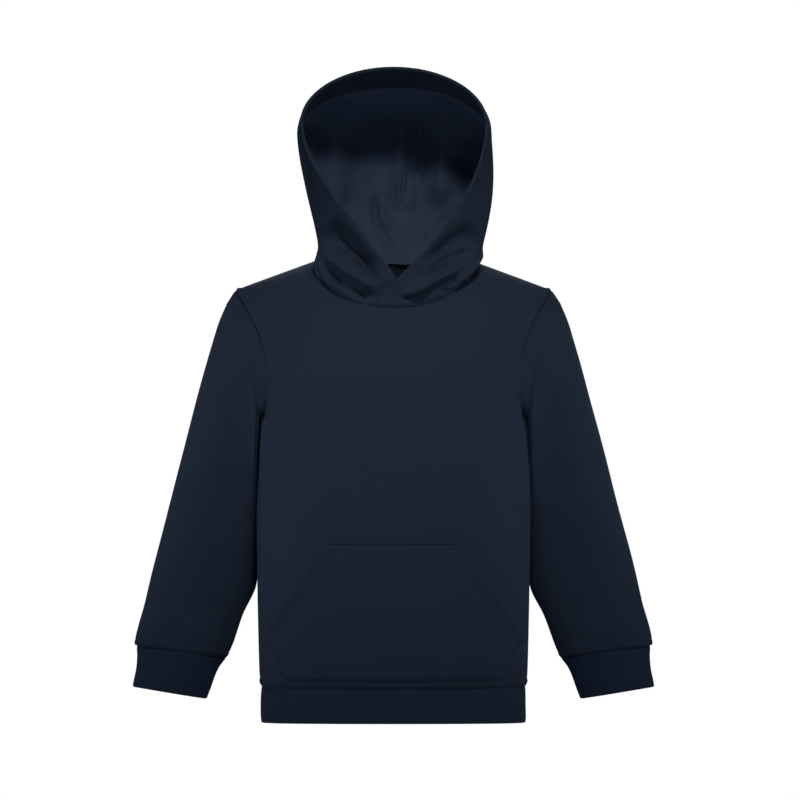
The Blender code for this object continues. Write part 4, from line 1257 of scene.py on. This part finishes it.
ALLOWANCE_WIDTH = (0.0130, 0.0190)   # the crown seam's edges, pressed to the wearer's left inside,
ALLOWANCE_Z = (0.092, 0.1460)        # from its lower end up to the facing
ALLOWANCE_WALL = 0.0010
ALLOWANCE_PROFILE = (0.0, 0.03, 0.07, 0.14, 0.24, 0.36, 0.50, 0.64, 0.78, 0.88, 0.94, 0.975, 1.0)


def make_allowance(cloth, outer, normals, wall):
    """The strip of seam allowance that runs down beside the crown seam, with its rows of stitches."""
    inner = (outer - normals * wall[..., None]).transpose(1, 0, 2)
    facing = -normals.transpose(1, 0, 2)
    height = cloth.grid[:, -1, 2]
    rows = np.nonzero((cloth.to["bottom"][:, -1] > HEM_CROWN_WIDTH) & (height > ALLOWANCE_Z[0])
                      & (height < ALLOWANCE_Z[1]))[0]
    width = np.interp(height, ALLOWANCE_Z, ALLOWANCE_WIDTH)
    share = (cloth.to["right"] - 0.0009) / width[:, None]
    lines, ups = [], []
    for place in ALLOWANCE_PROFILE:
        points, up = line_at(inner, facing, share.T, place)
        lines.append(points[rows])
        ups.append(up[rows])
    grid, up = np.array(lines), unit(np.array(ups))
    places = np.array(ALLOWANCE_PROFILE)[:, None]
    ripple = 0.0003 * np.sin(2.0 * math.pi * places / 0.30) + 0.0003 * np.sin(runs_across(grid) / 0.006)
    top = grid + up * (ALLOWANCE_WALL + ripple * np.sin(math.pi * places))[..., None]
    piece = shell("hood_seam_allowance", top, up, ALLOWANCE_WALL + 0.0004, (BACK, BACK),
                  round_edges=np.full(grid.shape[:2], 0.6))
    return piece, [(top[k], up[k]) for k in (3, 6, 10)]


FACING_EDGE = ((-0.0700, 0.1190), (-0.0640, 0.1218), (-0.0500, 0.1262), (-0.0382, 0.1304), (-0.0260, 0.1338),
               (-0.0137, 0.1420), (0.0000, 0.1444), (0.0106, 0.1452), (0.0250, 0.1418), (0.0409, 0.1362),
               (0.0560, 0.1250), (0.0692, 0.1122))
FACING_PROFILE = ((0.0, 0.0015), (0.0004, 0.0017), (0.0011, 0.0015), (0.0022, 0.0012), (0.0037, 0.0009),
                  (0.0055, 0.0006), (0.0075, 0.0003), (0.0095, 0.0))


def make_facing(halves):
    """The free edge of the facing inside the hood: an uneven line over the brow, in the front view."""
    tree = tree_of(halves)
    path = np.asarray(FACING_EDGE)
    at = np.linspace(0.0, len(path) - 1.0, 130)
    x, z = (smooth_read(np.arange(len(path)), path[:, axis], at) for axis in range(2))
    fade = np.sin(np.pi * np.linspace(0.0, 1.0, len(at))) ** 0.35
    top, up, walls = [], [], []
    for rise, lift in FACING_PROFILE:
        hits = [seen_at(tree, a, b + rise) for a, b in zip(x, z)]
        normals = np.array([hit[1][:] for hit in hits])
        normals = np.where((normals[:, 1] > 0)[:, None], -normals, normals)
        top.append(np.array([hit[0][:] for hit in hits]) + normals * (lift * fade)[:, None])
        up.append(normals)
        walls.append(lift * fade + 0.0005)
    up = np.array(up)
    for _ in range(12):
        up[:, 1:-1] = (up[:, :-2] + 2.0 * up[:, 1:-1] + up[:, 2:]) / 4.0
    return shell("hood_facing_edge", np.array(top), unit(up), np.array(walls), (BACK, BACK),
                 round_edges=np.full(up.shape[:2], 0.5))


# --------------------------------------------------------------------------- stitching
def stitches(name, lines, sink=0.00005):
    """Short lengths of thread laid along lines of (points, normals)."""
    corners, faces = [], []
    sides, rings = 6, 4
    for points, normals in lines:
        run = run_of(points)
        count = int(run[-1] / STITCH_PITCH)
        if count < 1:
            continue
        gap = (run[-1] - count * STITCH_PITCH) / 2.0
        for k in range(count):
            start = gap + k * STITCH_PITCH + 0.5 * (STITCH_PITCH - STITCH_LENGTH)
            at = start + STITCH_LENGTH * np.linspace(0.0, 1.0, rings)
            centre, normal = at_places(at, run, points), unit(at_places(at, run, normals))
            along = unit(centre[-1] - centre[0])
            normal = unit(normal - (normal @ along)[:, None] * along)
            side = np.cross(normal, along)
            first = len(corners)
            for j in range(rings):
                share = j / (rings - 1)
                bow = math.sin(math.pi * share)
                radius = STITCH_RADIUS * (0.55 + 0.45 * bow)
                middle = centre[j] + normal[j] * (STITCH_RADIUS * (1.1 * bow - 0.6) - sink)
                for s in range(sides):
                    angle = 2.0 * math.pi * s / sides
                    corners.append(middle + radius * (1.35 * math.cos(angle) * side[j]
                                                      + math.sin(angle) * normal[j]))
            for j in range(rings - 1):
                for s in range(sides):
                    a, b = first + j * sides + s, first + j * sides + (s + 1) % sides
                    faces.append((a, b, b + sides, a + sides))
            faces.append(tuple(first + s for s in reversed(range(sides))))
            faces.append(tuple(first + (rings - 1) * sides + s for s in range(sides)))
    mesh = bpy.data.meshes.new(name)
    mesh.from_pydata(np.array(corners).tolist(), [], faces)
    mesh.materials.append(THREAD)
    return link_piece(name, mesh)


def line_at(outer, normals, distance, place):
    """The line on a grid that runs at a distance from one of its ends, column by column."""
    points, ups = [], []
    for c in range(outer.shape[1]):
        order = np.argsort(distance[:, c])
        run = distance[order, c]
        points.append([np.interp(place, run, outer[order, c, a]) for a in range(3)])
        ups.append([np.interp(place, run, normals[order, c, a]) for a in range(3)])
    return np.array(points), unit(np.array(ups))


def laid_on(piece, path, step=0.002):
    """A line drawn in the front view, laid on a piece's front."""
    tree = tree_of([piece])
    path = np.asarray(path, float)
    run = run_of(path)
    at = np.linspace(0.0, run[-1], max(2, int(run[-1] / step)))
    points, normals = [], []
    for x, z in zip(np.interp(at, run, path[:, 0]), np.interp(at, run, path[:, 1])):
        hit, normal, _, _ = seen_at(tree, x, z)
        if hit is not None:
            points.append(hit[:])
            normals.append(normal[:])
    return np.array(points), np.array(normals)


def closed_line(points, normals):
    return np.vstack([points, points[:1]]), np.vstack([normals, normals[:1]])


# --------------------------------------------------------------------------- build it
cloths = {cloth.name: cloth for cloth in (
    body_cloth("front", -1), body_cloth("back", 1), band_cloth(),
    *both_sides("sleeve", sleeve_mesh(), ("bottom", "top")), *both_sides("cuff", cuff_mesh(), ("bottom",)),
    hood_cloth("hood_left", 1.0), hood_cloth("hood_right", -1.0))}
share_seams(list(cloths.values()))
body = {}
front, *body["front"] = make_body_piece(cloths["front"], FRONT_CREASES)
back, *body["back"] = make_body_piece(cloths["back"], BACK_CREASES)
band = make_band(cloths["hem_band"])
sleeves = {"sleeve_left": make_sleeve(cloths["sleeve_left"], SLEEVE_CREASES, 0.0),
           "sleeve_right": make_sleeve(cloths["sleeve_right"], mirrored(SLEEVE_CREASES), 0.9)}
cuffs = {name: make_cuff(cloths[name]) for name in ("cuff_left", "cuff_right")}
pocket = make_pocket()
hood = {name: make_hood_half(cloths[name], HOOD_CREASES[name]) for name in HOOD_CREASES}

waist_stitches = stitches("waist_stitching", [line_at(*half, WAIST_STITCH) for half in body.values()])
sleeve_stitches = {name: stitches(name + "_stitching", [closed_line(*line_at(*sleeve[1:], CUFF_STITCH))])
                   for name, sleeve in sleeves.items()}



def pocket_rows():
    """Rows of stitches on the pocket: two under its top, one by each opening, two down each side."""
    low, step, wide, top = POCKET
    rows = []
    for depth in (0.0023, 0.0080):
        end = top.half_width + 0.3 * depth
        rows.append(((-end, top.height - depth), (end, top.height - depth)))
    for sign in (-1.0, 1.0):
        inset = 0.0130
        rows.append(((sign * (top.half_width - inset), top.height - 0.001),
                     (sign * (wide.half_width - inset), wide.height - 0.001)))
        for inset in (0.0025, 0.0085):
            rows.append(((sign * (wide.half_width - inset), wide.height + 0.0005),
                         (sign * (step.half_width - inset), step.height),
                         (sign * (low.half_width - inset), low.height + 0.002)))
    return rows


pocket_stitches = stitches("pocket_stitching", [laid_on(pocket, row) for row in pocket_rows()])
hood_stitches = {}
for name, (piece, outer, normals, face, wall) in hood.items():
    line = line_at(outer, normals, face, HEM_STITCH)
    inner = line_at(outer - normals * wall[..., None], -normals, face, HEM_STITCH)
    hood_stitches[name] = stitches(name + "_stitching", [line, inner])

allowance, allowance_lines = make_allowance(cloths["hood_left"], *(hood["hood_left"][k] for k in (1, 2, 4)))
allowance_stitches = stitches("hood_seam_stitching", allowance_lines)
facing = make_facing([half[0] for half in hood.values()])

Piece = namedtuple("Piece", "object nodes slot")
pieces = [Piece(front, "front", "fleece"), Piece(back, "back", "fleece"), Piece(band, "hem_band", "rib"),
          Piece(pocket, "pocket", "fleece")]
pieces += [Piece(value[0], name, "fleece") for name, value in sleeves.items()]
pieces += [Piece(value, name, "rib") for name, value in cuffs.items()]
pieces += [Piece(value[0], name, "fleece") for name, value in hood.items()]
for piece in pieces:
    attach(piece.object, "root")
    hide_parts(piece.nodes)
for extra in [allowance, allowance_stitches, facing, waist_stitches, pocket_stitches,
              *sleeve_stitches.values(), *hood_stitches.values()]:
    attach(extra, "root")

Cut = namedtuple("Cut", "flat area held rests_on with_pieces")

# --------------------------------------------------------------------------- floor, light, camera
FLOOR_Z = -0.70
CAMERA_DISTANCE = 14.0
VIEW_CENTRE = (0.0065 * 0.92, 0.0, -0.1288)
FRAME_WIDTH = 800 * 0.00092          # pixels of the photo, and metres a pixel
WHITE, COOL, DEEP = (1.0, 1.0, 1.0), (0.86, 0.93, 1.0), (0.62, 0.78, 1.0)
LIGHTS = (           # name, place, target, size, power, spread, colour
    ("key", (0.10, -1.10, 0.80), (0.0, -0.05, -0.03), (0.10, 0.10), 1.06, 56.0, (1.0, 0.99, 0.98)),
    ("fill_left", (-1.2, -0.40, -0.22), (0.0, 0.0, -0.20), (0.4, 0.4), 0.31, 22.0, COOL),
    ("fill_right", (1.2, -0.40, -0.22), (0.0, 0.0, -0.20), (0.4, 0.4), 0.26, 22.0, COOL),
    ("low", (0.0, -1.6, -0.62), (0.0, 0.0, 0.13), (0.3, 0.2), 0.065, 26.0, COOL),
    ("low_left", (-1.0, -1.25, -0.30), (0.03, 0.0, 0.12), (0.3, 0.2), 0.018, 18.0, COOL),
    ("low_right", (1.0, -1.25, -0.30), (-0.03, 0.0, 0.12), (0.3, 0.2), 0.018, 18.0, COOL),
    ("front", (0.0, -1.7, -0.46), (0.0, 0.0, -0.43), (0.4, 0.4), 0.17, 40.0, DEEP),
    ("back", (0.0, 1.8, 1.0), (0.0, 0.0, -0.15), (0.8, 0.8), 1.6, 60.0, WHITE),
)


def pale(name, value):
    material = bpy.data.materials.new(name)
    material.use_nodes = True
    shader = material.node_tree.nodes["Principled BSDF"]
    shader.inputs["Base Color"].default_value = (value, value, value, 1.0)
    shader.inputs["Roughness"].default_value = 0.9
    return material


def area_light(name, place, target, size, power, spread, colour):
    light = bpy.data.lights.new(name, "AREA")
    light.shape = "RECTANGLE"
    light.size, light.size_y = size
    light.spread = math.radians(spread)
    light.energy = power
    light.color = colour
    holder = bpy.data.objects.new(name, light)
    holder.location = place
    holder.rotation_euler = (Vector(target) - Vector(place)).to_track_quat("-Z", "Y").to_euler()
    bpy.context.scene.collection.objects.link(holder)


def set_stage():
    bpy.ops.mesh.primitive_circle_add(vertices=96, radius=4.0, fill_type="NGON",
                                      location=(0.0, 0.0, FLOOR_Z))
    floor = bpy.context.object
    floor.name = "floor"
    floor.data.materials.append(pale("pale_floor", 0.86))
    world = bpy.data.worlds.new("studio")
    world.use_nodes = True
    nodes, links = world.node_tree.nodes, world.node_tree.links
    room = nodes["Background"]
    room.inputs["Color"].default_value = (0.64, 0.80, 1.0, 1.0)
    room.inputs["Strength"].default_value = 0.12
    paper = nodes.new("ShaderNodeBackground")
    paper.inputs["Color"].default_value = (*WHITE, 1.0)
    seen = nodes.new("ShaderNodeLightPath")
    chosen = nodes.new("ShaderNodeMixShader")
    links.new(seen.outputs["Is Camera Ray"], chosen.inputs[0])
    links.new(room.outputs[0], chosen.inputs[1])
    links.new(paper.outputs[0], chosen.inputs[2])
    links.new(chosen.outputs[0], nodes["World Output"].inputs["Surface"])
    bpy.context.scene.world = world
    for row in LIGHTS:
        area_light(*row)
    camera = bpy.data.cameras.new("camera")
    camera.sensor_width = 36.0
    camera.lens = camera.sensor_width * CAMERA_DISTANCE / FRAME_WIDTH
    camera.clip_end = 100.0
    holder = bpy.data.objects.new("camera", camera)
    holder.location = (VIEW_CENTRE[0], -CAMERA_DISTANCE, VIEW_CENTRE[2])
    holder.rotation_euler = (math.radians(90.0), 0.0, 0.0)
    bpy.context.scene.collection.objects.link(holder)
    bpy.context.scene.camera = holder
    bpy.context.scene.view_settings.view_transform = "Standard"


set_stage()
